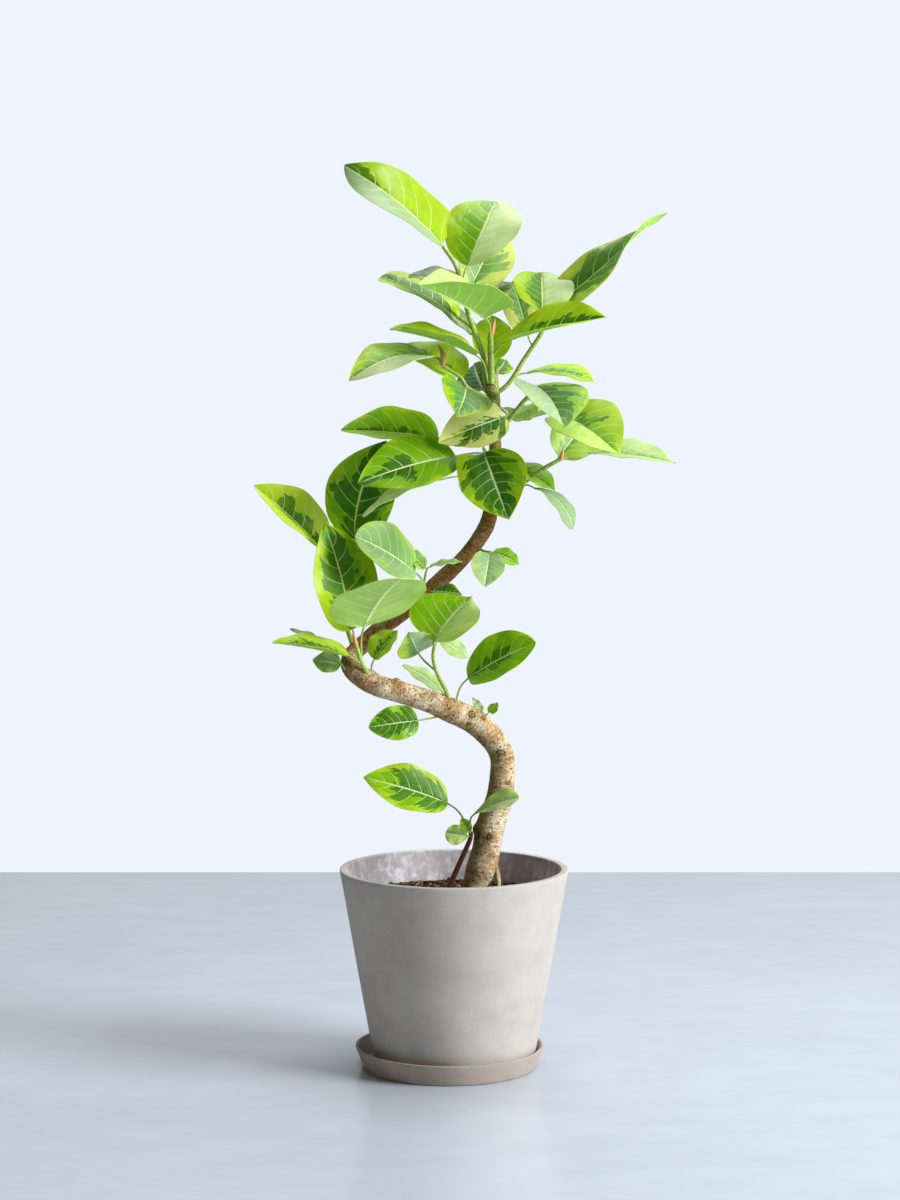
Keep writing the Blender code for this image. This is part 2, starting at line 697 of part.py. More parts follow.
def bud(name, points, radius, where):
    """A pointed leaf bud."""
    line = smooth_line(points, TWIG_STEPS)
    radii = [max(radius * math.sin(math.pi * (0.25 + 0.72 * i / (len(line) - 1))), 0.0004)
             for i in range(len(line))]
    return tube(name, line, radii, PETIOLE_SIDES, where, "leaf")


def leafy_stem(name, plan, clearance, where):
    """One stem with its petioles, blades and bud, fused, and cut to seat on the bark."""
    parts = collection(name + "_parts")
    for key, leaf in plan.leaves.items():
        blade(f"{name}_{key}_blade", leaf, parts)
        petiole(f"{name}_{key}_petiole", leaf, parts)
    if plan.bud:
        bud(name + "_bud", plan.bud, plan.bud_radius, parts)
    if plan.stem:
        line = smooth_line(plan.stem, TWIG_STEPS)
        first, last = plan.radii
        radii = [first + (last - first) * i / (len(line) - 1) for i in range(len(line))]
        made = tube(name, line, radii, TWIG_SIDES, where, "leaf")
    else:
        made = parts.objects[-1]
        parts.objects.unlink(made)
        where.objects.link(made)
        made.name = name
    join(made, parts)
    seat = made.modifiers.new("seat", "BOOLEAN")
    seat.operation = "DIFFERENCE"
    seat.object = clearance
    seat.solver = "EXACT"
    apply_modifiers(made)
    smooth(made)
    return made


def trunk(where):
    """The bent trunk, with its cut stub, its surface root and its knots grown into it."""
    grown = collection("trunk_parts")
    tapered("stub", CUT_STUB, 1, 2, grown, "trunk")
    tapered("root", SURFACE_ROOT, 2, 2, grown, "trunk")
    for place, radius in KNOTS:
        cage = bmesh.new()
        bmesh.ops.create_icosphere(cage, subdivisions=1, radius=radius)
        bmesh.ops.translate(cage, verts=cage.verts, vec=Vector(place))
        mesh = bpy.data.meshes.new("knot")
        cage.to_mesh(mesh)
        cage.free()
        add_object("knot", mesh, grown, "trunk")
    made = tapered("trunk", TRUNK_LINE, TRUNK_STEP_POINTS, TRUNK_SIDES, where, "trunk")
    join(made, grown)
    smooth(made)
    return made


def clearance_of(obj, where):
    """A cutter a gap larger than the object all round."""
    mesh = obj.data.copy()
    cage = bmesh.new()
    cage.from_mesh(mesh)
    bmesh.ops.recalc_face_normals(cage, faces=cage.faces)
    cage.normal_update()
    moves = [(vert, vert.co + vert.normal * 1.15 * GAP) for vert in cage.verts]
    for vert, place in moves:
        vert.co = place
    cage.to_mesh(mesh)
    cage.free()
    made = add_object(obj.name + "_clearance", mesh, where, "trunk")
    made.hide_render = True
    made.display_type = "WIRE"
    return made


def pot_inner_radius(z):
    """The inside of the pot's wall at a height."""
    taper = (POT_RIM_RADIUS - POT_BASE_RADIUS) / (POT_TOP - SAUCER_FLOOR - GAP)
    return POT_RIM_RADIUS - POT_WALL - taper * (POT_TOP - z)


def pot(where):
    foot = SAUCER_FLOOR + GAP
    floor = foot + POT_FLOOR
    edge = POT_EDGE_ROUND
    profile = [
        (POT_RIM_RADIUS - edge, POT_TOP),
        (POT_RIM_RADIUS - 0.3 * edge, POT_TOP - 0.3 * edge),
        (POT_RIM_RADIUS, POT_TOP - edge),
        (POT_BASE_RADIUS + 0.3 * edge, foot + edge),
        (POT_BASE_RADIUS - edge, foot),
        (DRAIN_HOLE_RADIUS, foot),
        (DRAIN_HOLE_RADIUS, floor),
        (pot_inner_radius(floor) - 2 * edge, floor),
        (pot_inner_radius(floor + 2 * edge), floor + 2 * edge),
        (pot_inner_radius(POT_TOP - edge), POT_TOP - edge),
        (pot_inner_radius(POT_TOP) + 0.3 * edge, POT_TOP - 0.3 * edge),
        (pot_inner_radius(POT_TOP) + edge, POT_TOP),
    ]
    return turned("pot", profile, where, "pot")


def saucer(where):
    edge = SAUCER_WALL / 4
    foot = SAUCER_FOOT_ROUND
    profile = [
        (SAUCER_RIM_RADIUS - edge, SAUCER_HEIGHT),
        (SAUCER_RIM_RADIUS, SAUCER_HEIGHT - edge),
        (SAUCER_BASE_RADIUS + 0.4 * foot, foot),
        (SAUCER_BASE_RADIUS - 0.4 * foot, 0.25 * foot),
        (SAUCER_BASE_RADIUS - foot, 0.0),
        (0.0, 0.0),
        (0.0, SAUCER_FLOOR),
        (SAUCER_BASE_RADIUS - SAUCER_WALL - foot, SAUCER_FLOOR),
        (SAUCER_BASE_RADIUS - SAUCER_WALL + 0.4 * foot, SAUCER_FLOOR + foot),
        (SAUCER_RIM_RADIUS - SAUCER_WALL, SAUCER_HEIGHT - edge),
        (SAUCER_RIM_RADIUS - SAUCER_WALL + edge, SAUCER_HEIGHT),
    ]
    return turned("saucer", profile, where, "saucer", centre=(SAUCER_SHIFT, 0, 0))


def soil(clearances, where):
    """The soil, which fills the pot and has a plain hole for each stem."""
    bottom = SAUCER_FLOOR + GAP + POT_FLOOR + GAP
    corner = 2 * POT_EDGE_ROUND
    profile = [(0.0, SOIL_EDGE_Z + SOIL_RISE)]
    for i in range(1, SOIL_RINGS + 1):
        share = i / SOIL_RINGS
        radius = share * (pot_inner_radius(SOIL_EDGE_Z) - GAP)
        profile.append((radius, SOIL_EDGE_Z + SOIL_RISE * (1 + math.cos(math.pi * share)) / 2))
    profile += [
        (pot_inner_radius(bottom + corner) - GAP, bottom + corner),
        (pot_inner_radius(bottom) - corner - GAP, bottom),
        (0.0, bottom),
    ]
    made = turned("soil", profile, where, "soil")
    for cutter in clearances:
        cut = made.modifiers.new(cutter.name, "BOOLEAN")
        cut.operation = "DIFFERENCE"
        cut.object = cutter
        cut.solver = "EXACT"
    apply_modifiers(made)
    smooth(made)
    return made


def main():
    for obj in list(bpy.data.objects):
        bpy.data.objects.remove(obj)
    plant = collection("potted_council_tree")
    cutters = collection("cutters")
    saucer(plant)
    pot(plant)
    wood = trunk(plant)
    bark_clearance = clearance_of(wood, cutters)
    made = {name: leafy_stem(name, plan, bark_clearance, plant) for name, plan in STEMS.items()}
    side_clearance = clearance_of(made["stem_side"], cutters)
    soil([bark_clearance, side_clearance], plant)


if __name__ == "__main__":
    main()
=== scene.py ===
"""Looks of a potted council tree: a variegated fig with a bent trunk in a grey pot on a saucer.

Metres, +Z up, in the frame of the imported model: the origin is on the pot's axis at the floor and the front
is -Y. The plant's tables are in millimetres, which the metres function turns to the scene's unit.
Each sub-assembly is a class that holds its sizes, builds its mesh and dresses it with its finishes.
"""

import logging
import math
import random
from dataclasses import dataclass, field
from enum import IntEnum
from typing import Callable

import bmesh
import bpy
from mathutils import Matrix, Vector, noise


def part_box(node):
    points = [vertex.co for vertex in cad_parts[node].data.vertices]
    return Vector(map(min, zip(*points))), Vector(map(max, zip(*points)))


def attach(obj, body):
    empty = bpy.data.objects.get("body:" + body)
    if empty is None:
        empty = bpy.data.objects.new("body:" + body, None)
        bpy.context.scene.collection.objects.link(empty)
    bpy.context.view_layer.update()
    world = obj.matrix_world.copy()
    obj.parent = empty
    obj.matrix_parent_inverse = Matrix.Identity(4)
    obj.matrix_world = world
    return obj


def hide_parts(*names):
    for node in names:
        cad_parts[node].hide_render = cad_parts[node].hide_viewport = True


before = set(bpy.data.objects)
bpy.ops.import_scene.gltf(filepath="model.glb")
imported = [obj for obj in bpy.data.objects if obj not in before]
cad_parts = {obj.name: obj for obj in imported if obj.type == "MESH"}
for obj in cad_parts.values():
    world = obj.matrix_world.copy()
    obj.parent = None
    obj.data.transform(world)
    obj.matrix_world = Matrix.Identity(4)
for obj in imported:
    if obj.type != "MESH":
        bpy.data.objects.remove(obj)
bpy.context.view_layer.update()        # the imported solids, which stay as they are

LOG = logging.getLogger("council_tree")
MM = 0.001
SAME_PLACE = 1e-7
FAR_AWAY = 9.0

# The view of the photograph
CAMERA_PLACE = (-0.0044, -3.0571, 0.7632)
CAMERA_TILT = 85.3
CAMERA_LENS = 84.99
CAMERA_SENSOR = 36.0


def linear(hex_colour: str) -> tuple[float, float, float, float]:
    """Turn an sRGB hex colour to the linear values that a shader takes.

    Args:
        hex_colour: six hex digits after a number sign.

    Returns:
        Red, green, blue and an alpha of one.
    """
    shares = [int(hex_colour[i:i + 2], 16) / 255 for i in (1, 3, 5)]
    red, green, blue = [c / 12.92 if c <= 0.04045 else ((c + 0.055) / 1.055) ** 2.4 for c in shares]
    return red, green, blue, 1.0


def metres(millimetres: tuple) -> list[float]:
    """Turn a table's millimetres to metres."""
    return [length / 1000 for length in millimetres]


def add_node(tree: bpy.types.NodeTree, kind: str, inputs: dict | None = None,
             **settings: object) -> bpy.types.Node:
    """Add a node with its settings and links.

    Args:
        tree: the node tree of a material or a world.
        kind: the node's type without its ShaderNode prefix.
        inputs: input name or number to a value, or to the output that is linked to it.
        settings: the node's own properties.

    Returns:
        The node.
    """
    made = tree.nodes.new("ShaderNode" + kind)
    for name, value in settings.items():
        setattr(made, name, value)
    for key, value in (inputs or {}).items():
        if isinstance(value, bpy.types.NodeSocket):
            tree.links.new(value, made.inputs[key])
        else:
            made.inputs[key].default_value = value
    return made


class Graph:
    """The node tree of one material, with a Principled shader that its finish fills in."""

    def __init__(self, name: str, **sockets: object) -> None:
        """Make the material and set the shader's own sockets.

        Args:
            name: the material's name.
            sockets: values of the shader's sockets, with underscores for the spaces in their names.
        """
        self.material = bpy.data.materials.new(name)
        self.material.use_nodes = True
        self.tree = self.material.node_tree
        self.shader = self.tree.nodes["Principled BSDF"]
        for key, value in sockets.items():
            self.shader.inputs[key.replace("_", " ")].default_value = value

    def add(self, kind: str, inputs: dict | None = None, **settings: object) -> bpy.types.NodeSocket:
        """Add a node and return its first output."""
        return add_node(self.tree, kind, inputs, **settings).outputs[0]

    def calc(self, operation: str, *values: object) -> bpy.types.NodeSocket:
        """Calculate with numbers or outputs."""
        return self.add("Math", dict(enumerate(values)), operation=operation)

    def vector(self, operation: str, *values: object) -> bpy.types.NodeSocket:
        """Calculate with vectors."""
        return self.add("VectorMath", dict(enumerate(values)), operation=operation)

    def bump(self, height: object, strength: float, distance: float) -> bpy.types.NodeSocket:
        """Turn a height to a bumpy normal."""
        return self.add("Bump", {"Height": height, "Strength": strength, "Distance": distance})

    def stretched(self, vector: object, *factors: float) -> bpy.types.NodeSocket:
        """Stretch a vector by three factors."""
        return self.add("Mapping", {0: vector, 3: factors})

    def ramp(self, value: object, low: float, high: float, start: float = 0.0,
             end: float = 1.0) -> bpy.types.NodeSocket:
        """Go from start to end while a value goes from low to high."""
        return self.add("MapRange", {0: value, 1: low, 2: high, 3: start, 4: end})

    def mix(self, share: object, first: object, second: object) -> bpy.types.NodeSocket:
        """Mix two colours.

        Args:
            share: how much the second has.
            first: an sRGB hex colour, or an output.
            second: another.

        Returns:
            The mixed colour.
        """
        colours = [linear(c) if isinstance(c, str) else c for c in (first, second)]
        mixer = self.add("Mix", {0: share, 6: colours[0], 7: colours[1]}, data_type="RGBA")
        return mixer.node.outputs[2]

    def shaded(self, colour: object, light: object) -> bpy.types.NodeSocket:
        """Multiply a colour by a number."""
        return self.vector("MULTIPLY", colour, light)

    def split(self, vector: object) -> tuple:
        """Take a vector's three numbers apart."""
        return tuple(self.add("SeparateXYZ", {0: vector}).node.outputs)

    def read(self, attribute: str, output: str = "Vector") -> bpy.types.NodeSocket:
        """Read one of the mesh's own attributes."""
        return self.add("Attribute", attribute_name=attribute).node.outputs[output]

    def here(self, *stretch: float) -> bpy.types.NodeSocket:
        """The place on the object, in metres, or stretched by three factors."""
        place = self.add("TexCoord").node.outputs["Object"]
        return self.stretched(place, *stretch) if stretch else place

    def noise(self, vector: object, size_mm: float, detail: float = 2.0,
              roughness: float = 0.5) -> bpy.types.NodeSocket:
        """A noise around one half, with lumps of a size in millimetres if the vector is in metres."""
        return self.add("TexNoise", {
            "Vector": vector, "Scale": 1 / (size_mm * MM), "Detail": detail, "Roughness": roughness})

    def wire(self, **sockets: bpy.types.NodeSocket) -> bpy.types.Material:
        """Link outputs to the shader's sockets.

        Args:
            sockets: the outputs, by the socket's name with underscores for spaces.

        Returns:
            The finished material.
        """
        for key, value in sockets.items():
            self.tree.links.new(value, self.shader.inputs[key.replace("_", " ")])
        return self.material


class Face(IntEnum):
    """The material slots of a leafy piece."""

    UPPER = 0
    UNDER = 1
    STALK = 2
    BUD = 3


@dataclass(frozen=True)
class LeafFinish:
    """Fig leaf: waxy skin over green tissue, pale where patches between the veins have no green.

    The patches step from side vein to side vein, and small angular cells of tissue make their edges.
    A half is also paled, partly for its own pale tissue and partly as a painted sheen.
    """

    name: str
    roughness: float
    under: bool
    dark: str = "#265f00"
    grey: str = "#6b9a55"
    mid: str = "#74aa04"
    lime: str = "#a0c010"
    cream: str = "#d6da78"
    sage: str = "#9cc454"
    # pale and haze colour a half's pale share: partly pale tissue, partly a painted sheen
    pale: str = "#b8cb9c"
    haze: str = "#92ab8a"
    vein: str = "#e6f0b4"
    grain_mm: float = 0.8
    blotch_mm: float = 14.0

    def material(self) -> bpy.types.Material:
        """Build the material of one face of the blades.

        Returns:
            The material, which reads the blade's UV map and its four look attributes.
        """
        graph = Graph(self.name, Roughness=self.roughness, Specular_IOR_Level=0.17,
                      Subsurface_Weight=0.4, Subsurface_Radius=(0.7, 1.0, 0.15), Subsurface_Scale=0.003)
        calc, ramp = graph.calc, graph.ramp
        across, along, _ = graph.split(graph.add("UVMap", uv_map="blade"))
        across = calc("MULTIPLY_ADD", across, 2.0, -1.0)
        out, side = calc("ABSOLUTE", across), calc("GREATER_THAN", across, 0.0)
        dark_reach, mid_reach, pale_and_sheen = graph.split(graph.read("extents"))
        grey, cream, deep = graph.split(graph.read("tones"))
        start, end, seed = graph.split(graph.read("window"))
        # lit is the half's painted light and shade
        lit = graph.read("lit", "Fac")

        line = calc("MULTIPLY_ADD", calc("POWER", out, VEIN_BEND), -VEIN_RISE, along)
        offset = calc("MULTIPLY_ADD", side, VEIN_STAGGER, seed)
        rank = calc("MULTIPLY_ADD", line, float(VEINS), offset)
        apart = calc("ABSOLUTE", calc("SUBTRACT", calc("FRACT", rank), 0.5))
        side_vein = calc("MULTIPLY", ramp(apart, 0.458, 0.490), ramp(out, 0.15, 0.95, 0.70, 0.14))
        veins = calc("MAXIMUM", side_vein, ramp(out, 0.018, 0.040, 0.95, 0.0))

        sector = graph.add("CombineXYZ", {0: calc("FLOOR", rank), 1: side, 2: seed})
        luck = graph.split(graph.add("TexWhiteNoise", {0: sector}).node.outputs["Color"])
        shift = calc("MULTIPLY_ADD", side, 23.0, calc("MULTIPLY", seed, 7.0))
        spot = graph.add("CombineXYZ", {
            0: calc("MULTIPLY", rank, CELLS_ALONG),
            1: calc("MULTIPLY_ADD", out, CELLS_OUT, shift)})
        frayed = graph.add("TexNoise", {"Vector": spot, "Scale": 1.9, "Detail": 2.0})
        fray = graph.vector("SUBTRACT", frayed.node.outputs["Color"], (0.5, 0.5, 0.5))
        spot = graph.vector("MULTIPLY_ADD", fray, (FRAY, FRAY, 0.0), spot)
        cell = graph.add("TexVoronoi", {"Vector": spot, "Scale": 1.0}, voronoi_dimensions="2D").node
        centre = graph.split(cell.outputs["Position"])
        chance = graph.split(cell.outputs["Color"])
        cell_out = calc("DIVIDE", calc("SUBTRACT", centre[1], shift), CELLS_OUT)
        cell_line = calc("DIVIDE", calc("SUBTRACT", calc("DIVIDE", centre[0], CELLS_ALONG), offset),
                         float(VEINS))
        jitter = calc("MULTIPLY_ADD", chance[0], 0.24, -0.12)

        reach = calc("MULTIPLY", calc("MULTIPLY_ADD", luck[0], 0.95, 0.5), dark_reach)
        dark = calc("GREATER_THAN", calc("ADD", reach, jitter), cell_out)
        ends = (
            calc("GREATER_THAN", calc("MULTIPLY_ADD", jitter, 0.3, cell_line), start),
            calc("LESS_THAN", calc("MULTIPLY_ADD", jitter, 0.3, cell_line), end),
            calc("GREATER_THAN", dark_reach, 0.04),
        )
        for limit in ends:
            dark = calc("MULTIPLY", dark, limit)
        spread = calc("MULTIPLY", calc("MULTIPLY_ADD", luck[1], 0.45, 0.78), mid_reach)
        spread = calc("SUBTRACT", calc("ADD", spread, jitter), cell_out)
        green = ramp(spread, -0.02, 0.02)

        colour = graph.mix(cream, self.lime, self.cream)
        colour = graph.mix(calc("MULTIPLY", green, ramp(luck[2], 0.0, 1.0, 0.62, 1.0)), colour, self.mid)
        tissue = graph.mix(grey, self.dark, self.grey)
        patchy = calc("MULTIPLY_ADD", chance[1], -0.22, calc("MULTIPLY_ADD", luck[2], -0.18, 1.12))
        colour = graph.mix(calc("MULTIPLY", dark, calc("MULTIPLY", deep, patchy)), colour, tissue)
        # Paler halves: partly the leaf's own pale tissue, partly a painted sheen
        pale_and_sheen_colour = graph.mix(grey, self.pale, self.haze)
        colour = graph.mix(calc("MULTIPLY", pale_and_sheen, 0.85), colour, pale_and_sheen_colour)
        if self.under:
            colour = graph.mix(0.74, colour, self.sage)
        colour = graph.mix(ramp(out, 0.955, 0.985, 0.0, 0.45), colour, self.lime)
        colour = graph.mix(veins, colour, self.vein)
        cloud = graph.noise(graph.here(), self.blotch_mm)
        grain = graph.noise(graph.here(), self.grain_mm)
        light = calc("MULTIPLY_ADD", cloud, 0.30, calc("MULTIPLY_ADD", grain, 0.24, 0.73))
        # Painted light and shade: each half's lit number makes its colour lighter or darker
        light = calc("MULTIPLY", light, lit)
        bump = graph.bump(grain, 0.12, 0.0003)
        return graph.wire(Base_Color=graph.shaded(colour, light), Normal=bump)


@dataclass(frozen=True)
class StalkFinish:
    """Young fig shoot: smooth green skin, which turns to brown cork on an older stem."""

    name: str = "green_shoot_skin"
    green: str = "#b0c562"
    shade: str = "#84a23c"
    cork: str = "#4a2a1a"
    fleck_mm: float = 3.0

    def material(self) -> bpy.types.Material:
        """Build the skin, which reads how corky the stem is from the tones attribute."""
        graph = Graph(self.name, Roughness=0.45, Specular_IOR_Level=0.3)
        flecks = graph.noise(graph.here(), self.fleck_mm, 4.0)
        skin = graph.mix(graph.ramp(flecks, 0.35, 0.65), self.green, self.shade)
        colour = graph.mix(graph.split(graph.read("tones"))[0], skin, self.cork)
        bump = graph.bump(flecks, 0.25, 0.0004)
        return graph.wire(Base_Color=colour, Normal=bump)


@dataclass(frozen=True)
class BudFinish:
    """Leaf sheath: a thin dry scale that goes from straw to orange-pink at its point."""

    name: str = "bud_sheath"
    foot: str = "#c9a35e"
    point: str = "#de8250"

    def material(self) -> bpy.types.Material:
        """Build the sheath, whose colour follows the bud's own length."""
        graph = Graph(self.name, Roughness=0.4, Subsurface_Weight=0.1, Subsurface_Scale=0.002)
        along = graph.split(graph.add("UVMap", uv_map="blade"))[1]
        return graph.wire(Base_Color=graph.mix(along, self.foot, self.point))


# The scars of old shoots on the bark: their place, their size and how much flatter than wide they are
SCARS = (
    (50.4, -14.4, 347.7, 5.2, 1.9), (19, -21.6, 389.8, 4.2, 1), (31.2, -16.4, 385.2, 2.6, 1),
    (38.3, -15.4, 255.5, 3.4, 1.3), (15.6, -22.6, 379.5, 1.8, 1), (25, -6, 257.3, 6, 1),
    (58.5, -12.5, 313.8, 3, 1.4), (-72, -35, 424, 5, 1), (38.6, -0.9, 746.1, 5, 2),
)


@dataclass(frozen=True)
class BarkFinish:
    """Fig bark: thin and smooth, cream with tan blotches, dark pores and ring scars, greener when younger.

    Moss and shade colour its left side, and each scar has a dark ring in a mossy patch.
    """

    name: str = "fig_bark"
    light: str = "#ead8b4"
    tan: str = "#c79f70"
    brown: str = "#92591c"
    green: str = "#b3c46a"
    # Moss, and also the painted shade on the side that faces away from the key light
    moss_and_shade: str = "#7c722c"
    knot: str = "#3a2010"
    pore: str = "#3d2814"
    patch_mm: float = 22.0
    grain_mm: float = 2.6
    pore_mm: float = 4.6
    ring_mm: float = 27.0
    girth: float = 0.09
    brown_from: float = 0.445
    brown_full: float = 0.53
    green_from: float = 0.64
    green_full: float = 0.70

    def material(self) -> bpy.types.Material:
        """Build the bark, which reads the way round and along the trunk from its UV map."""
        graph = Graph(self.name, Roughness=0.8, Specular_IOR_Level=0.12)
        ramp, calc, here = graph.ramp, graph.calc, graph.here()
        side, _, high = graph.split(here)
        # left is how far the surface faces away from the key light, for painted shade
        knots, left, _ = graph.split(graph.read("knots_and_shaded_side"))
        skin = graph.stretched(graph.add("UVMap", uv_map="bark"), self.girth, 1.0, 1.0)
        patches = graph.noise(here, self.patch_mm, 5.0, 0.62)
        mossy = graph.noise(graph.here(1.0, 1.0, 0.7), 0.7 * self.patch_mm, 6.0, 0.68)
        lines = graph.noise(graph.stretched(skin, 0.25, 1.0, 1.0), self.grain_mm, 4.0, 0.7)
        grain = graph.noise(here, 0.9 * self.grain_mm, 3.0, 0.75)
        wide = graph.stretched(skin, 0.55, 1.0, 1.0)
        pores = self.dots(graph, wide, self.pore_mm, 0.21, ramp(mossy, 0.42, 0.54, 0.1, 0.9))
        specks = self.dots(graph, wide, 0.6 * self.pore_mm, 0.26, ramp(patches, 0.46, 0.62, 0.0, 0.55))
        rank = calc("MULTIPLY_ADD", patches, 0.5, calc("DIVIDE", graph.split(skin)[1], self.ring_mm * MM))
        apart = calc("ABSOLUTE", calc("SUBTRACT", calc("FRACT", rank), 0.5))
        rings = calc("MULTIPLY", ramp(apart, 0.012, 0.04, 0.6, 0.0), ramp(lines, 0.45, 0.6))
        colour = graph.mix(ramp(patches, 0.40, 0.60), self.light, self.tan)
        level = calc("ADD", high, calc("MULTIPLY_ADD", patches, 0.16, -0.08))
        level = calc("SUBTRACT", level, calc("MULTIPLY", calc("MINIMUM", side, 0.0), 0.6))
        colour = graph.mix(ramp(level, self.brown_from, self.brown_full, 0.0, 0.85), colour, self.brown)
        colour = graph.mix(ramp(level, self.green_from, self.green_full, 0.0, 0.85), colour, self.green)
        # Moss patches, and painted shade on the side that faces away from the key light
        green = calc("ADD", ramp(mossy, 0.52, 0.66, 0.0, 0.6), ramp(left, 0.1, 0.9, 0.0, 0.75))
        colour = graph.mix(calc("MINIMUM", green, 0.85), colour, self.moss_and_shade)
        halo, ring, heart = self.scars(graph, here, grain)
        colour = graph.mix(halo, colour, self.moss_and_shade)
        shade = calc("MULTIPLY", ramp(lines, 0.36, 0.64, 0.70, 1.18), ramp(grain, 0.40, 0.60, 0.64, 1.2))
        dark = calc("MAXIMUM", calc("MAXIMUM", pores, specks), calc("MAXIMUM", rings, ring))
        colour = graph.mix(dark, graph.shaded(colour, shade), self.pore)
        knots = calc("MULTIPLY", knots, ramp(grain, 0.35, 0.6, 0.2, 0.7))
        colour = graph.mix(calc("MAXIMUM", knots, heart), colour, self.knot)
        height = calc("SUBTRACT", calc("ADD", lines, grain), dark)
        bump = graph.bump(height, 0.9, 0.0009)
        return graph.wire(Base_Color=colour, Normal=bump)

    @staticmethod
    def scars(graph: Graph, here: object, grain: object) -> tuple:
        """Draw the scars of old shoots.

        Args:
            graph: the material's graph.
            here: the place on the object.
            grain: a noise that frays them.

        Returns:
            How strong their mossy patches, their dark rings and their hearts are.
        """
        nearest = FAR_AWAY
        for *place, size_mm, flat in SCARS:
            size = size_mm / 1000
            offset = graph.vector("SUBTRACT", here, metres(place))
            offset = graph.vector("MULTIPLY", offset, (1 / size, 1 / size, flat / size))
            length = graph.vector("LENGTH", offset).node.outputs["Value"]
            nearest = graph.calc("MINIMUM", length, nearest)
        nearest = graph.calc("ADD", nearest, graph.calc("MULTIPLY_ADD", grain, 0.5, -0.25))
        off_ring = graph.calc("ABSOLUTE", graph.calc("SUBTRACT", nearest, 0.85))
        halo = graph.ramp(nearest, 0.9, 2.3, 0.5, 0.0)
        return halo, graph.ramp(off_ring, 0.08, 0.26, 0.85, 0.0), graph.ramp(nearest, 0.15, 0.45, 0.8, 0.0)

    @staticmethod
    def dots(graph: Graph, place: object, size_mm: float, reach: float, share: object) -> object:
        """Scatter round dots, one in each cell of a size in millimetres.

        Args:
            graph: the material's graph.
            place: the place on the bark, in metres.
            size_mm: how far the dots are apart.
            reach: their radius as a share of that.
            share: how strong they are.

        Returns:
            The dots' strength.
        """
        cells = graph.add("TexVoronoi", {"Vector": place, "Scale": 1 / (size_mm * MM)},
                          voronoi_dimensions="2D")
        return graph.calc("MULTIPLY", graph.ramp(cells, 0.5 * reach, reach, 0.9, 0.0), share)


@dataclass(frozen=True)
class CastFinish:
    """Stone-filled moulded plastic: a dead-matt wall with faint level brush marks and fine grit."""

    name: str
    base: str
    cloud: str
    bloom: str
    bloom_share: float
    cloud_mm: float = 60.0
    band_mm: float = 2.2
    grit_mm: float = 1.1

    def material(self) -> bpy.types.Material:
        """Build the wall's material, with lime bloom where bloom_share is over nothing."""
        graph = Graph(self.name, Roughness=0.85, Specular_IOR_Level=0.25)
        ramp = graph.ramp
        cloud = graph.noise(graph.here(0.8, 0.8, 1.3), self.cloud_mm, 7.0, 0.65)
        bands = graph.noise(graph.here(0.06, 0.06, 1.0), self.band_mm, 3.0)
        grit = graph.noise(graph.here(), self.grit_mm)
        blotches = graph.noise(graph.here(1.0, 1.0, 0.8), 0.35 * self.cloud_mm, 8.0, 0.7)
        colour = graph.mix(ramp(cloud, 0.35, 0.65), self.base, self.cloud)
        colour = graph.mix(ramp(blotches, 0.47, 0.66, 0.0, self.bloom_share), colour, self.bloom)
        shade = graph.calc("MULTIPLY", ramp(bands, 0.3, 0.7, 0.98, 1.02), ramp(grit, 0.3, 0.7, 0.93, 1.06))
        height = graph.calc("ADD", grit, graph.calc("MULTIPLY", bands, 0.6))
        bump = graph.bump(height, 0.2, 0.0004)
        return graph.wire(Base_Color=graph.shaded(colour, shade), Normal=bump)


@dataclass(frozen=True)
class SoilFinish:
    """Potting mix: damp peat, nearly black, with golden-brown bark chips."""

    name: str
    dark: str
    light: str
    clod_mm: float = 4.0

    def material(self) -> bpy.types.Material:
        """Build the mix's material."""
        graph = Graph(self.name, Roughness=0.95, Specular_IOR_Level=0.2)
        clods = graph.noise(graph.here(), self.clod_mm, 6.0, 0.7)
        colour = graph.mix(graph.ramp(clods, 0.42, 0.68), self.dark, self.light)
        bump = graph.bump(clods, 0.8, 0.002)
        return graph.wire(Base_Color=colour, Normal=bump)


def faces_round(verts: list) -> list:
    """The faces round some points, each of them once."""
    return list(dict.fromkeys(face for vert in verts for face in vert.link_faces))


def put(name: str, data: bpy.types.ID) -> bpy.types.Object:
    """Put an object with its data in the scene."""
    placed = bpy.data.objects.new(name, data)
    bpy.context.scene.collection.objects.link(placed)
    return placed


def to_mesh(cage: bmesh.types.BMesh, name: str, materials: list) -> bpy.types.Mesh:
    """Turn a finished cage to a mesh.

    Args:
        cage: the cage, which is freed.
        name: the mesh's name.
        materials: its materials, in the order of their slots.

    Returns:
        The mesh.
    """
    mesh = bpy.data.meshes.new(name)
    cage.to_mesh(mesh)
    cage.free()
    for material in materials:
        mesh.materials.append(material)
    return mesh


def finish_piece(cage: bmesh.types.BMesh, name: str, materials: list, nodes: list,
                 sharp: float = 40.0) -> bpy.types.Object:
    """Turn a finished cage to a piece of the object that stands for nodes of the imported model.

    Args:
        cage: the closed shells, in the frame's metres.
        name: the piece's own name.
        materials: its materials, in the order of their slots.
        nodes: the nodes that it stands for.
        sharp: the angle from which edges stay sharp, in degrees.

    Returns:
        The object, which rides on the root body.
    """
    bmesh.ops.recalc_face_normals(cage, faces=cage.faces)
    mesh = to_mesh(cage, name, materials)
    mesh.shade_smooth()
    mesh.set_sharp_from_angle(angle=math.radians(sharp))
    piece = put(name, mesh)
    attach(piece, "root")
    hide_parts(*nodes)
    LOG.info("%s: %d faces", name, len(mesh.polygons))
    return piece


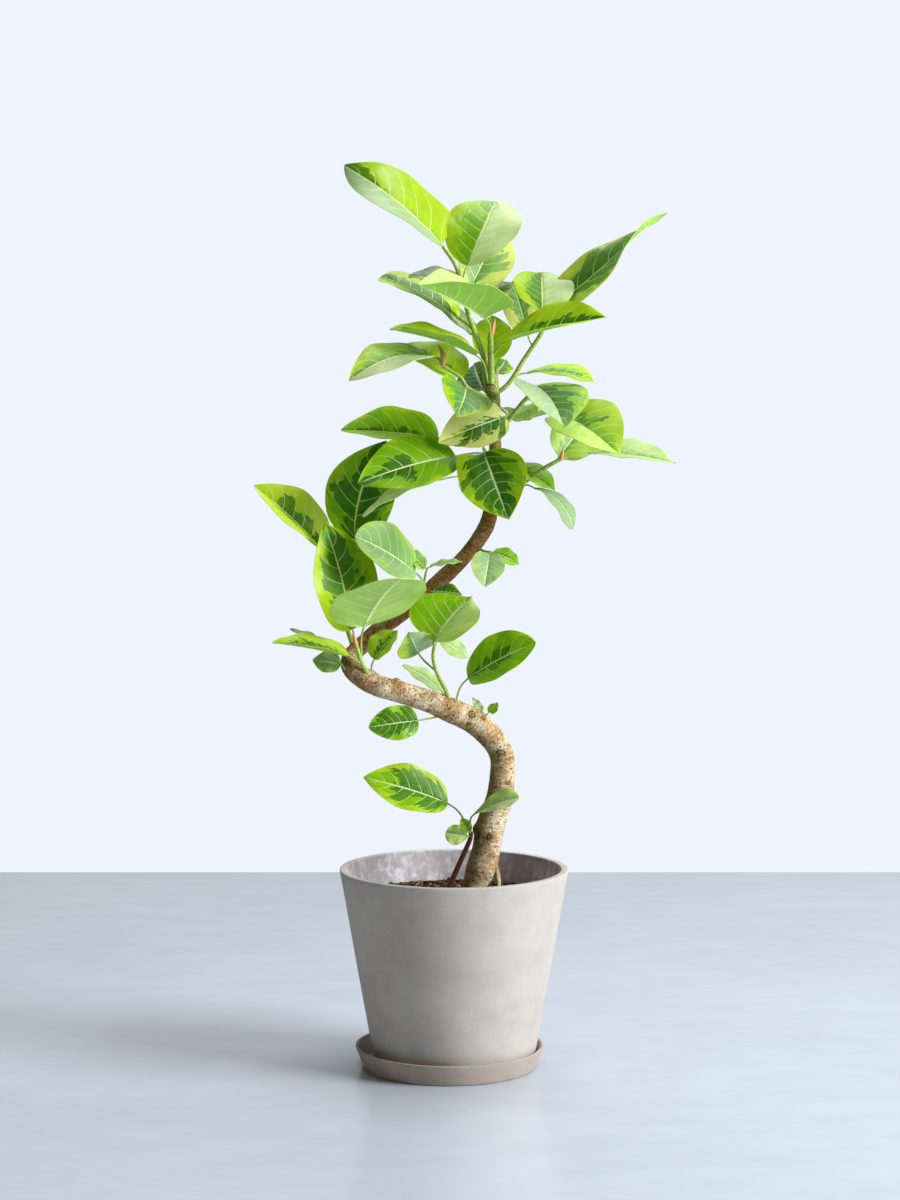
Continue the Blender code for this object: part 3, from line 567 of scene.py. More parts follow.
def smooth_line(points: list, steps: int) -> list[Vector]:
    """Draw a smooth curve through points.

    Args:
        points: places in metres.
        steps: how many steps there are between each two.

    Returns:
        The points along the curve, the given ones among them.
    """
    rows = [Vector(p) for p in points]
    rows = [2 * rows[0] - rows[1], *rows, 2 * rows[-1] - rows[-2]]
    line = []
    for a, b, c, d in zip(rows, rows[1:], rows[2:], rows[3:]):
        for i in range(steps):
            t = i / steps
            line.append(
                0.5 * (2 * b + (c - a) * t + (2 * a - 5 * b + 4 * c - d) * t * t
                       + (3 * b - a - 3 * c + d) * t ** 3)
            )
    line.append(rows[-2])
    return line


def smooth_limb(rows: tuple, steps: int) -> tuple[list, list]:
    """Draw a smooth limb.

    Args:
        rows: the three numbers of a place and a radius each, in millimetres.
        steps: how many steps there are between each two.

    Returns:
        The points of its middle line and the radii there, in metres.
    """
    places = smooth_line([metres(row[:3]) for row in rows], steps)
    radii = smooth_line([(row[3] / 1000, 0, 0) for row in rows], steps)
    return places, [radius.x for radius in radii]


def add_tube(cage: bmesh.types.BMesh, line: list, radii: list, sides: int, slot: int, uv_name: str,
             relief: Callable[[float, float, Vector], float] | None = None) -> list:
    """Roll a grid into a round tube along a line, closed at both ends.

    Args:
        cage: the cage that the tube is added to.
        line: points along the middle.
        radii: the radius at each of them.
        sides: how many sides the tube has.
        slot: the faces' material slot.
        uv_name: the UV map that takes the way round and the way along.
        relief: what to add to the radius, from the way along in metres, the angle and the place.

    Returns:
        The tube's faces.
    """
    rows = [Vector(p) for p in line]
    rows = [rows[0], *rows, rows[-1]]
    sizes = [0.0, *radii, 0.0]
    ways = [(b - a).normalized() for a, b in zip(rows[1:-2], rows[2:-1])]
    ways = [ways[0], *ways, ways[-1], ways[-1]]
    travelled = [0.0]
    for a, b in zip(rows, rows[1:]):
        travelled.append(travelled[-1] + (b - a).length)
    normals = [ways[0].orthogonal().normalized()]
    for way in ways[1:]:
        last = normals[-1]
        normals.append((last - last.dot(way) * way).normalized())
    made = bmesh.ops.create_grid(cage, x_segments=len(rows) - 1, y_segments=sides, size=1.0)
    faces = faces_round(made["verts"])
    uv = cage.loops.layers.uv[uv_name]
    long = uv_name == "bark"
    for face in faces:
        face.material_index = slot
        for loop in face.loops:
            place = (loop.vert.co.x + 1) / 2
            row = round(place * (len(rows) - 1))
            loop[uv].uv = ((loop.vert.co.y + 1) / 2, travelled[row] if long else place)
    for vert in made["verts"]:
        row = round((vert.co.x + 1) / 2 * (len(rows) - 1))
        angle = math.pi * (vert.co.y + 1)
        normal = normals[row]
        out = math.cos(angle) * normal + math.sin(angle) * ways[row].cross(normal)
        size = sizes[row]
        if relief and size > 0:
            size += relief(travelled[row], angle, rows[row] + size * out)
        vert.co = rows[row] + size * out
    bmesh.ops.remove_doubles(cage, verts=made["verts"], dist=SAME_PLACE)
    return [face for face in faces if face.is_valid]


# The side veins: how many a blade has, how far they rise to its edge, how they bend and their stagger
VEINS = 7
VEIN_RISE = 0.25
VEIN_BEND = 1.35
VEIN_STAGGER = 0.45
# The small cells of tissue between two side veins, and from the midrib to the edge
CELLS_ALONG = 2.6
CELLS_OUT = 8.5
FRAY = 0.9
# The seeds of the blades' noises: from piece to piece and from leaf to leaf
PIECE_SEED = 3.1
LEAF_SEED = 1.37


@dataclass(frozen=True)
class Look:
    """How a blade is coloured: a pair is its left and its right half, and one number goes for both.

    dark and mid are how far the dark and the mid green reach from the midrib to the edge, pale_and_sheen is
    how pale the half is, partly its own pale tissue and partly a painted sheen, grey how grey the dark and
    the pale are, lit is painted light and shade that makes the half's colour lighter or darker, patch where
    along the blade the dark starts and ends, cream how creamy the rim is and deep how full the dark is.
    """

    dark: float | tuple = 0.6
    mid: float | tuple = 0.85
    # Partly the half's own pale tissue, partly a painted sheen
    pale_and_sheen: float | tuple = 0.0
    grey: float | tuple = 0.0
    # Painted light and shade: over one lightens a half, under one darkens it
    lit: float | tuple = 1.0
    patch: tuple = (-0.3, 1.3)
    cream: float = 0.0
    deep: float = 0.9

    def half(self, side: int) -> list[float]:
        """How one half is coloured, in the order of the first five fields."""
        pairs = (self.dark, self.mid, self.pale_and_sheen, self.grey, self.lit)
        return [pair[side] if isinstance(pair, tuple) else pair for pair in pairs]


@dataclass(frozen=True)
class Leaf:
    """One leaf: its petiole's root, the two ends of its blade, and how the blade is held.

    The three places, the width and the height of the edge's wave are in millimetres.
    turn is how far the upper face is turned from the front to the blade's left, in degrees.
    fold lifts each half from flat, twist turns the blade along its length and curl its tip alone,
    and arch and bow bend the midrib up and to the left.
    lobe is how far the base's left and right shoulders reach back, skew moves the widest place
    to the tip, and point is 0.5 for a blunt tip and over 1 for a sharp one.
    """

    root: tuple
    base: tuple
    tip: tuple
    width: float
    turn: float = 0.0
    fold: float = 15.0
    arch: float = 0.05
    bow: float = 0.0
    twist: float = 0.0
    curl: float = 0.0
    lobe: tuple = (0.04, 0.04)
    skew: float = 0.86
    point: float = 0.86
    wave: float = 0.9
    look: Look = Look()


class Blade:
    """The blade of one leaf as a thin closed shell, with its midrib and veins raised below."""

    THICKNESS = 0.00055
    SMALL_WIDTH = 0.03
    ROWS, COLUMNS = 64, 26
    SMALL_ROWS, SMALL_COLUMNS = 30, 12
    EVEN_ROWS, EVEN_COLUMNS = 0.45, 0.6
    FULL_RELIEF_WIDTH = 0.07
    BASE_ROUND = 0.58
    BASE_HALF_WIDTH = 0.0012
    TIP_HALF_WIDTH = 0.0002
    EDGE_RELAX = 0.25
    LOBE_END = 0.34
    CURL_POWER = 4
    WAVES, WAVE_SHIFT = 2.6, 1.6
    MIDRIB_DEPTH, MIDRIB_WIDTH = 0.0007, 0.0011
    VEIN_DEPTH, VEIN_WIDTH = 0.00035, 0.12
    SWELL, SWELL_SIZE = 0.0009, 0.028

    def __init__(self, leaf: Leaf, seed: float) -> None:
        """Work out the blade's own directions.

        Args:
            leaf: the leaf's sizes.
            seed: a number that makes its noise its own.
        """
        self.leaf, self.seed = leaf, seed
        self.base, self.tip = Vector(metres(leaf.base)), Vector(metres(leaf.tip))
        self.width, self.wave = metres((leaf.width, leaf.wave))
        self.length = (self.tip - self.base).length
        self.along = (self.tip - self.base).normalized()
        front = Vector((0, -1, 0))
        self.front = (front - front.dot(self.along) * self.along).normalized()
        self.left = self.front.cross(self.along)

    def half_width(self, t: float) -> float:
        """Find half the blade's width.

        Args:
            t: the way along the midrib, from 0 at its base to 1 at its tip.

        Returns:
            The half width in metres.
        """
        leaf = self.leaf
        power = self.BASE_ROUND + (leaf.point - self.BASE_ROUND) * t
        arc = math.sin(math.pi * t ** leaf.skew)
        narrowest = self.BASE_HALF_WIDTH + (self.TIP_HALF_WIDTH - self.BASE_HALF_WIDTH) * t
        return max(self.width / 2 * max(arc, 0.0) ** power, narrowest)

    def place(self, t: float, u: float) -> Vector:
        """Find a point of the blade's middle sheet.

        Args:
            t: the way along the midrib.
            u: the way across, from -1 at the right edge to 1 at the left.

        Returns:
            The place.
        """
        leaf = self.leaf
        angle = math.radians(leaf.turn + leaf.twist * (t - 0.5) + leaf.curl * t ** self.CURL_POWER)
        up = math.cos(angle) * self.front + math.sin(angle) * self.left
        side = math.cos(angle) * self.left - math.sin(angle) * self.front
        hump = 4 * t * (1 - t) * self.length
        shoulder = math.sin(math.pi * min(t / self.LOBE_END, 1.0))
        back = leaf.lobe[u < 0] * self.length * u * u * shoulder
        slope = math.atan(4 * (1 - 2 * t) * leaf.arch)
        raised = math.cos(slope) * up - math.sin(slope) * self.along
        across = self.half_width(t) * abs(u)
        fold = math.radians(leaf.fold)
        lift = across * math.sin(fold) * (1 - self.EDGE_RELAX * abs(u))
        shift = self.WAVE_SHIFT * math.copysign(1, u)
        lift += self.wave * u * u * math.sin(2 * math.pi * self.WAVES * t + shift)
        lift += self.relief(t, u, across)
        middle = self.base + (t * self.length - back) * self.along
        middle += hump * (leaf.arch * up + leaf.bow * side)
        return middle + math.copysign(across * math.cos(fold), u) * side + lift * raised

    def relief(self, t: float, u: float, across: float) -> float:
        """Find how far the sheet stands above its plain form: sunk at the veins, swollen between them.

        Args:
            t: the way along the midrib.
            u: the way across.
            across: the distance from the midrib in metres.

        Returns:
            The height in metres.
        """
        size = min(1.0, self.width / self.FULL_RELIEF_WIDTH)
        rank = (t - VEIN_RISE * abs(u) ** VEIN_BEND) * VEINS + VEIN_STAGGER * (u > 0) + self.seed
        part = abs(rank - math.floor(rank) - 0.5)
        vein = max(0.0, (part - 0.5 + self.VEIN_WIDTH) / self.VEIN_WIDTH) * (1 - abs(u)) ** 0.5
        midrib = math.exp(-(across / self.MIDRIB_WIDTH) ** 2) * min(1.0, 6 * (1 - t))
        spot = Vector((t * self.length, u * self.width / 2, self.seed * 3)) / self.SWELL_SIZE
        swell = self.SWELL * noise.noise(spot) * min(1.0, 3 * abs(u))
        return size * (swell - self.MIDRIB_DEPTH * midrib - self.VEIN_DEPTH * vein)

    def add_to(self, cage: bmesh.types.BMesh) -> None:
        """Add the blade's shell to a cage, with its UV map and its look attributes.

        Args:
            cage: the cage, which has the layers already.
        """
        small = self.width < self.SMALL_WIDTH
        rows, columns = (self.SMALL_ROWS, self.SMALL_COLUMNS) if small else (self.ROWS, self.COLUMNS)
        sheet = bmesh.ops.create_grid(cage, x_segments=rows, y_segments=columns, size=1.0)["verts"]
        ways = cage.verts.layers.float_vector["ways"]
        for vert in sheet:
            share = (vert.co.x + 1) / 2
            eased = (1 - math.cos(math.pi * share)) / 2
            t = self.EVEN_ROWS * share + (1 - self.EVEN_ROWS) * eased
            u = vert.co.y * (self.EVEN_COLUMNS + (1 - self.EVEN_COLUMNS) * abs(vert.co.y))
            vert[ways] = (t, u, 0.0)
            vert.co = self.place(t, u)
        upper = faces_round(sheet)
        for face in upper:
            face.normal_update()
        for vert in sheet:
            vert.normal_update()
        offsets = {vert: vert.normal * self.THICKNESS / 2 for vert in sheet}
        places = {vert: vert.co.copy() for vert in sheet}
        grown = bmesh.ops.extrude_face_region(cage, geom=upper, use_keep_orig=True)["geom"]
        moved = [item for item in grown if isinstance(item, bmesh.types.BMVert)]
        over = {item for item in grown if isinstance(item, bmesh.types.BMFace)}
        for vert, twin in self.pairs(moved, places):
            twin.co = places[vert] + offsets[vert]
            vert.co = places[vert] - offsets[vert]
        shell = [*faces_round(sheet), *over]
        self.dress(cage, shell, over, set(upper))

    @staticmethod
    def pairs(moved: list, places: dict) -> list:
        """Pair each point of the sheet with its copy, which still lies in the same place."""
        keys = {tuple(round(c, 7) for c in place): vert for vert, place in places.items()}
        return [(keys[tuple(round(c, 7) for c in twin.co)], twin) for twin in moved]

    def dress(self, cage: bmesh.types.BMesh, shell: list, over: set, under: set) -> None:
        """Give the shell's faces their slots, UV map and look.

        Args:
            cage: the cage that holds them.
            shell: all the faces.
            over: those of the sheet's front.
            under: those of its back.
        """
        uv = cage.loops.layers.uv["blade"]
        extents = cage.loops.layers.float_vector["extents"]
        tones = cage.loops.layers.float_vector["tones"]
        window = cage.loops.layers.float_vector["window"]
        lit = cage.loops.layers.float["lit"]
        ways = cage.verts.layers.float_vector["ways"]
        look = self.leaf.look
        halves = look.half(0), look.half(1)
        for face in shell:
            centre = sum(loop.vert[ways][1] for loop in face.loops)
            # light is the half's painted light and shade, which is written to the lit attribute
            dark, mid, pale_and_sheen, grey, light = halves[0 if centre > 0 else 1]
            face.material_index = Face.UPPER if face in over or face not in under else Face.UNDER
            for loop in face.loops:
                t, u, _ = loop.vert[ways]
                loop[uv].uv = ((u + 1) / 2, t)
                loop[extents] = (dark, mid, pale_and_sheen)
                loop[tones] = (grey, look.cream, look.deep)
                loop[window] = (*look.patch, self.seed)
                loop[lit] = light


@dataclass
class LeafyStem:
    """A green stem with its petioles, blades and bud; a leaf straight from the bark has no stem.

    Its places and radii are in millimetres.
    """

    STEM_STEPS, STEM_SIDES = 8, 16
    BUD_STEPS, BUD_SIDES = 10, 14
    BUD_START, BUD_SPAN = 0.25, 0.72
    BUD_POINT = 0.0003
    PETIOLE_STEPS, PETIOLE_SIDES = 7, 12
    PETIOLE_BEND = 0.35
    PETIOLE_TAPER = 0.45
    THINNEST, FULL_WIDTH = 0.45, 0.08

    leaves: dict
    stem: tuple = ()
    radii: tuple = (2.5, 1.8)
    bud: tuple = ()
    bud_radius: float = 2
    cork: float = 0.0
    petiole_radius: float = 1.3
    petiole_reach: float = 0.07

    def build(self, name: str, first_seed: float, materials: list) -> bpy.types.Object:
        """Build the whole piece.

        Args:
            name: the node that it stands for.
            first_seed: where its blades' seeds start.
            materials: one for each slot of Face.

        Returns:
            The piece.
        """
        cage = bmesh.new()
        cage.loops.layers.uv.new("blade")
        for layer in ("extents", "tones", "window"):
            cage.loops.layers.float_vector.new(layer)
        # lit holds each half's painted light and shade
        cage.loops.layers.float.new("lit")
        cage.verts.layers.float_vector.new("ways")
        for i, leaf in enumerate(self.leaves.values()):
            Blade(leaf, first_seed + LEAF_SEED * i).add_to(cage)
            self.add_petiole(cage, leaf)
        if self.stem:
            line = smooth_line([metres(place) for place in self.stem], self.STEM_STEPS)
            first, last = metres(self.radii)
            radii = [first + (last - first) * i / (len(line) - 1) for i in range(len(line))]
            tube = add_tube(cage, line, radii, self.STEM_SIDES, Face.STALK, "blade")
            self.paint(cage, tube, self.cork)
        if self.bud:
            line = smooth_line([metres(place) for place in self.bud], self.BUD_STEPS)
            shares = [self.BUD_START + self.BUD_SPAN * (i / (len(line) - 1)) for i in range(len(line))]
            size = self.bud_radius / 1000
            radii = [max(size * math.sin(math.pi * share), self.BUD_POINT) for share in shares]
            add_tube(cage, line, radii, self.BUD_SIDES, Face.BUD, "blade")
        return finish_piece(cage, f"{name}_grown", materials, [name], 55.0)

    def add_petiole(self, cage: bmesh.types.BMesh, leaf: Leaf) -> None:
        """Add a leaf's stalk, which runs a little way along under the blade.

        Args:
            cage: the cage that it is added to.
            leaf: the leaf.
        """
        blade = Blade(leaf, 0.0)
        root, base = Vector(metres(leaf.root)), blade.base
        bend = base - self.PETIOLE_BEND * (base - root).length * blade.along
        middle = 0.5 * (0.5 * (root + base) + bend)
        end = blade.place(self.petiole_reach, 0.0)
        line = smooth_line([root, middle, base, end], self.PETIOLE_STEPS)
        size = self.petiole_radius / 1000 * min(1.0, self.THINNEST + blade.width / self.FULL_WIDTH)
        radii = [size * (1.0 - self.PETIOLE_TAPER * i / (len(line) - 1)) for i in range(len(line))]
        tube = add_tube(cage, line, radii, self.PETIOLE_SIDES, Face.STALK, "blade")
        self.paint(cage, tube, 0.5 * self.cork)

    @staticmethod
    def paint(cage: bmesh.types.BMesh, faces: list, cork: float) -> None:
        """Write how corky a stem's faces are."""
        tones = cage.loops.layers.float_vector["tones"]
        for face in faces:
            for loop in face.loops:
                loop[tones] = (cork, 0.0, 0.0)


# The trunk's middle line and radius in millimetres, from the root in the soil to the fork under the crown
TRUNK_LINE = (
    (19.5, 4, 150, 12), (20.5, 2, 184, 12), (23, 0, 201, 12.7), (29, 0, 216, 16.3), (35, 0, 237, 15.6),
    (40, 0, 266, 15.5), (48, 0, 290, 15), (51.5, 0, 305, 14.5), (53, 0, 328, 13.5), (51.5, -1, 343, 13.4),
    (45, -2, 357, 13.6), (32.5, -5, 371, 13.9), (20.5, -8, 381, 14.1), (8, -12, 388, 13.8),
    (-10, -18, 396.5, 13), (-30, -24, 405.5, 12.2), (-63, -32, 416.5, 11.4), (-82, -35, 422.5, 11.8),
    (-99, -34, 431, 11.4), (-110, -29, 440.5, 10.6), (-111, -19, 452, 9.4), (-99, -8, 464, 9.1),
    (-82.5, 4, 479, 8.7), (-66, 12, 489, 8.4), (-46, 19, 504, 8.4), (-19, 26, 528, 8.6), (10, 31, 555, 8.4),
    (33, 33, 586, 8.4), (41, 31, 613, 8.1), (44.5, 26, 646, 7.4), (44.5, 20, 679, 6.6), (44, 11, 720, 6.2),
    (41, 6, 740, 7.2), (40, 5, 757, 6.6),
)
# The cut stub beside the fork, the root that shows at the soil, and the swollen knots of old shoots
CUT_STUB = ((42, 5, 748, 3.6), (46.5, 4, 764, 3.3))
SURFACE_ROOT = (
    (40, -2, 230, 5.5), (46.5, -5, 214, 3.4), (48.5, -8, 200, 2.7), (50, -11, 172, 2.5),
)
KNOTS = [(Vector(metres(place)), size / 1000) for *place, size in (
    (51, -10.5, 347, 5), (41, -12.5, 256, 4.8), (23.5, 0, 262, 5.2), (6, -0.5, 398, 5), (-62, -28, 427, 4.5),
    (-88, -30, 434, 4.5), (20, 26, 571, 4.2), (46, 1, 734, 4),
)]
KNOT_REACH = 0.95

# In each Look, lit is painted light and shade, and the pale share is partly pale tissue and partly a painted
# sheen
STEMS = {
    "stem_crown_left": LeafyStem({
        "top": Leaf(
            (-10, -5, 889), (-13, -5, 894), (-116, -25, 977), 94, turn=-60, fold=20, arch=0.03, bow=-0.02,
            twist=16, curl=75, lobe=(0.04, 0.14), skew=0.54, point=0.7, wave=0.3,
            look=Look(dark=(0, 0.95), mid=(0.1, 0), pale_and_sheen=(0.9, 0), grey=(1, 0), lit=0.8, patch=(0.72, 1.3))),
        "heart": Leaf(
            (8, -1, 849), (13.5, -5, 871.5), (45, 45, 942), 88, turn=25, fold=12, arch=0.1, bow=-0.05,
            skew=1.1, point=0.6,
            look=Look(dark=(0.45, 0), mid=(0.7, 0), pale_and_sheen=(0, 0.9), lit=(0.85, 1.35), deep=0.3)),
        "behind_heart": Leaf(
            (9, 0, 843), (18, 15, 849), (51, 75, 921), 64, turn=-10,
            look=Look(mid=0.2, grey=0.9, lit=0.85, cream=0.7)),
        "small_back": Leaf(
            (12, 1, 830), (26, 30, 836), (62.5, 58, 855.5), 50, turn=60, fold=10,
            look=Look(dark=0.8, mid=0.9)),
        "left": Leaf(
            (22, 4, 802), (4, 6, 816), (-79, 45, 861), 65, turn=-69, skew=1.2, point=0.48, curl=15,
            look=Look(dark=(0.6, 0.4), mid=(0.5, 0.25), lit=(1.2, 1.35))),
        "left_pale": Leaf(
            (8.5, -1, 846), (4, -1, 850), (-49, 10, 860), 46, turn=-65, arch=0.08,
            look=Look(dark=0.2, mid=(0.3, 0.4), pale_and_sheen=1, grey=(0.7, 1), lit=(0.95, 0.68))),
        "left_back": Leaf(
            (22, 4, 800), (17, 10, 799), (-32, 60, 839), 46, turn=-70, fold=12,
            look=Look(dark=0.3, mid=0.3, pale_and_sheen=(0.6, 0.5), grey=0.6, lit=0.9, cream=0.25)),
    }, stem=((36.5, 7.5, 738), (33.5, 8, 757), (32, 7.5, 774), (22, 4, 801), (14, 1, 825), (7.5, -1, 852),
        (1, -3, 873), (-12, -5, 892)), radii=(3.6, 2)),
    "stem_crown_right": LeafyStem({
        "underside": Leaf(
            (39, -1, 794), (33, -18, 815), (-38, -88, 849), 104, turn=-92, fold=48, arch=0.02,
            lobe=(0.16, 0.04), skew=0.64, point=1,
            look=Look(dark=0, mid=0.4, pale_and_sheen=0.6)),
        "behind_bud": Leaf(
            (40, 1, 766), (42, 15, 771), (41, 52, 819), 46,
            look=Look(dark=0, mid=0, lit=1.25)),
        "right": Leaf(
            (40, 0, 773), (59, -5, 792), (162, -35, 816), 66, turn=62, fold=38, arch=0.02, twist=-16,
            skew=1,
            look=Look(dark=(0.3, 0.28), mid=0.3, lit=(1.15, 1.1), patch=(0.15, 1))),
    }, stem=((40.5, 1, 745), (39.5, 0, 779), (39, -1, 797)), radii=(3.6, 3.2), bud=((39, -1, 795),
        (41, -1, 803), (44, -1, 815)), bud_radius=3.2),
    "leaf_crown_low_left": LeafyStem({"leaf": Leaf(
        (36.5, 0.5, 746), (23, -12, 776), (-68, -45, 803), 64, turn=-83, fold=27, arch=0.04,
        look=Look(dark=(0.3, 0.5), mid=(0.15, 0.3), pale_and_sheen=(0.2, 0), patch=(0.45, 1.1)))}),
    "leaf_crown_back": LeafyStem({"leaf": Leaf(
        (40, 8, 735), (32, 20, 738), (22, 72, 766), 50, turn=10,
        look=Look(dark=1, mid=1, lit=0.9, deep=1))}),
    "leaf_crown_stub": LeafyStem({"leaf": Leaf(
        (42, 7, 752), (47, 18, 757), (56, 48, 771), 26,
        look=Look(dark=0.7, mid=0.9))}),
    "stem_upper_left": LeafyStem({
        "drooping": Leaf(
            (-11, -10, 764), (-23, -10, 774), (-111, -55, 749), 66, turn=-62, fold=11, arch=0.12, twist=20,
            look=Look(dark=(0, 0.3), mid=(0.3, 0.7), pale_and_sheen=(1, 0.1), lit=(1.4, 1.5), deep=0.7)),
        "behind_bud": Leaf(
            (6, -8, 753), (8, 6, 752), (-54.5, 44, 787.5), 62, turn=-55,
            look=Look(dark=0.1, mid=0.1, lit=1.3, deep=0.5)),
        "to_front": Leaf(
            (16, -6, 740), (12.5, -18, 741), (3, -80, 711.5), 62, turn=12, fold=12, arch=0.1,
            lobe=(0, 0.08),
            look=Look(dark=(0.75, 0.8), mid=0.8, grey=(0.5, 0.6), pale_and_sheen=(0.2, 0))),
    }, stem=((40, 6, 729), (16, -6, 740), (6, -8, 753), (-12, -10, 764)), radii=(2.4, 1.8),
        bud=((-12, -10, 764), (-12, -11, 776), (-17, -11, 788)), bud_radius=2.8),
    "stem_upper_right": LeafyStem({
        "cream_back": Leaf(
            (85, 3, 786), (80, 40, 799), (64, 72, 857), 42, turn=-10,
            look=Look(dark=0.5, mid=0.2, grey=0.9, cream=1)),
        "upright": Leaf(
            (96, 4, 806), (95, 2, 823), (95, 50, 866), 72, turn=-8, fold=22,
            look=Look(dark=(0.35, 0), mid=(0.6, 0.1), pale_and_sheen=(0, 0.8), lit=(0.76, 1), deep=0.7)),
        "reaching": Leaf(
            (96, 4, 807), (112, 25, 833), (230, 30, 929), 59, turn=57, fold=20, arch=0.02, bow=-0.04,
            twist=50, curl=75, skew=0.68, point=1.2,
            look=Look(dark=(0.85, 0.8), mid=0.5, grey=0.3, lit=0.95, patch=(0.1, 0.68), cream=0.35)),
        "low": Leaf(
            (58, 4, 745), (79, 12, 757), (150, 12, 748), 47, turn=70, fold=12, arch=0.08, skew=2,
            point=0.36,
            look=Look(dark=(0.28, 0.25), mid=(0.5, 0.4), patch=(0.25, 0.8), deep=0.75)),
    }, stem=((42, 8, 732), (59, 4, 746), (75, 3, 771), (93.5, 3, 799), (96, 4, 808)), radii=(2.6, 2.2)),
    "stem_middle_right": LeafyStem({
        "big_front": Leaf(
            (90, -3, 737), (88, -10, 743), (114, -105, 701), 86, turn=40, fold=22, arch=0.06,
            lobe=(0.04, 0),
            look=Look(dark=(0.85, 0.3), mid=(0.9, 0.3), pale_and_sheen=(0, 0.95), lit=(1, 0.92), grey=(0, 0.7),
                      patch=(0.05, 0.9), deep=1)),
        "big_low": Leaf(
            (105, -4, 727), (116, -10, 712), (174, -70, 671), 87, turn=43, fold=23, skew=0.72,
            look=Look(dark=(0.6, 0), mid=(0.35, 0), pale_and_sheen=(0.1, 0.35), lit=(1.1, 1), patch=(-0.3, 0.42),
                      grey=(0.3, 0))),
        "small_back": Leaf(
            (78, -2, 729), (89, 18, 723), (55, 26, 709), 36, turn=60, fold=12,
            look=Look(dark=0, mid=0.6, pale_and_sheen=0.2)),
        "pale_back": Leaf(
            (100, -4, 732), (101, 26, 716), (50, 40, 720), 26, turn=70, fold=12,
            look=Look(dark=0, mid=0, pale_and_sheen=0.4)),
    }, stem=((44, 12, 698), (57, 4, 704.5), (77, -2, 728.5), (91, -3, 737), (106, -4, 726)), radii=(3, 2)),
    "stem_lower_right": LeafyStem({
        "upright": Leaf(
            (113.5, -2, 663), (113, 2, 667), (146, 35, 706), 60, turn=5, fold=28,
            look=Look(dark=(0.3, 0.15), mid=0.1, pale_and_sheen=0.3, grey=0.7)),
        "far_right": Leaf(
            (113, -3, 663), (151, 0, 671), (237, -25, 661), 56, turn=68, fold=22, arch=0.03, point=1.1,
            look=Look(dark=0.12, mid=0.3, pale_and_sheen=0.6, grey=0.2, patch=(0.1, 0.8))),
        "near_trunk": Leaf(
            (60, 18, 627), (63, 18, 654), (109, 0, 630), 44, turn=60, fold=18,
            look=Look(dark=(0.3, 0.2), mid=(0.9, 0.8), deep=0.5)),
        "arching": Leaf(
            (66, 14, 632), (87, -5, 633), (128, -10, 590), 33, turn=60, fold=1, arch=0.18, skew=1.7,
            point=0.36,
            look=Look(dark=0.35, mid=0.1, pale_and_sheen=0.9, grey=1, lit=0.88)),
    }, stem=((40, 31, 612), (55, 20, 623.5), (77, 8, 640), (96.5, 0, 654), (114, -3, 664)),
        radii=(2.8, 2.2), bud=((114, -3, 663), (116, -4, 668), (117.5, -4, 676)), bud_radius=2.4),
    "leaf_cream_front": LeafyStem({"leaf": Leaf(
        (45, 11, 722), (55, -4, 710), (-17, -46, 683.5), 52, turn=-16, fold=16,
        look=Look(dark=(0.75, 0.2), mid=(0.2, 0.1), lit=(1.35, 1.5), patch=(-0.1, 0.62), cream=0.95,
                  deep=0.97))}),
    "leaf_hanging_front": LeafyStem({"leaf": Leaf(
        (44.6, 24, 656), (32, -42, 672), (56.5, -106, 605), 75, fold=12, arch=0.06, lobe=(0.02, 0.18),
        look=Look(dark=0.62, mid=0.75, patch=(-0.2, 1), deep=1))}),
    "leaf_left_high": LeafyStem({"leaf": Leaf(
        (44, 21, 680), (-17, 6, 686.5), (-122, 10, 695.5), 72, turn=-57, fold=29, arch=0.02,
        look=Look(dark=(0.15, 0.12), mid=0.75, lit=(1.1, 1.25), deep=0.8))}),
    "leaf_left_long": LeafyStem({"leaf": Leaf(
        (44, 23, 668), (2, -30, 668.5), (-101.5, -74, 641.5), 70, turn=-35, fold=17, twist=12,
        look=Look(dark=(0.65, 0.3), mid=1, patch=(0.42, 1.02), deep=1))}),
    "leaf_left_narrow": LeafyStem({"leaf": Leaf(
        (42, 30, 630), (-17, -22, 642.5), (-97.5, -36, 603.5), 36, turn=-75, fold=0, arch=0.1,
        look=Look(dark=0, mid=0.1, pale_and_sheen=1, lit=2.3))}),
    "stem_elbow_back": LeafyStem({
        "dark_upright": Leaf(
            (-124, 4, 554), (-108, 8, 577.5), (-73, 0, 684), 78, bow=0.08,
            look=Look(dark=(0.62, 0.95), mid=(0.8, 1), deep=1)),
        "far_left": Leaf(
            (-124, 3, 548), (-142, -12, 568), (-213.5, -30, 637), 74, turn=-50, fold=40, arch=0.02,
            twist=16,
            look=Look(dark=(0.35, 0.42), mid=0.1, lit=(1.1, 1.25), patch=(0.02, 0.66), cream=0.1)),
    }, stem=((-106, -16, 455), (-118, -4, 490), (-124, 2, 530), (-124, 4, 556)), radii=(2.8, 2)),
    "stem_elbow_front": LeafyStem({
        "upright": Leaf(
            (-103, -44, 461), (-109, -30, 483), (-138, -42, 597), 80, turn=-28, fold=21,
            look=Look(dark=(0.6, 0.7), mid=(0.4, 0.7), grey=(0.2, 0.1), lit=(1.2, 1.25), patch=(-0.3, 0.9))),
        "underside": Leaf(
            (-99, -44, 449), (-96, -44, 487), (-55.5, -120, 544), 108, turn=134, fold=5, point=0.6,
            look=Look(dark=0, mid=0.3, pale_and_sheen=0.9, lit=1.15)),
        "left": Leaf(
            (-95.5, -42.5, 442), (-111, -50, 455), (-192, -75, 473), 50, turn=-80, fold=28, arch=0.02,
            look=Look(dark=(0.32, 0.35), mid=0.3, patch=(0.1, 0.75))),
    }, stem=((-84, -36, 420), (-98.5, -44, 447.5), (-104, -44, 465)), radii=(2.6, 2.2),
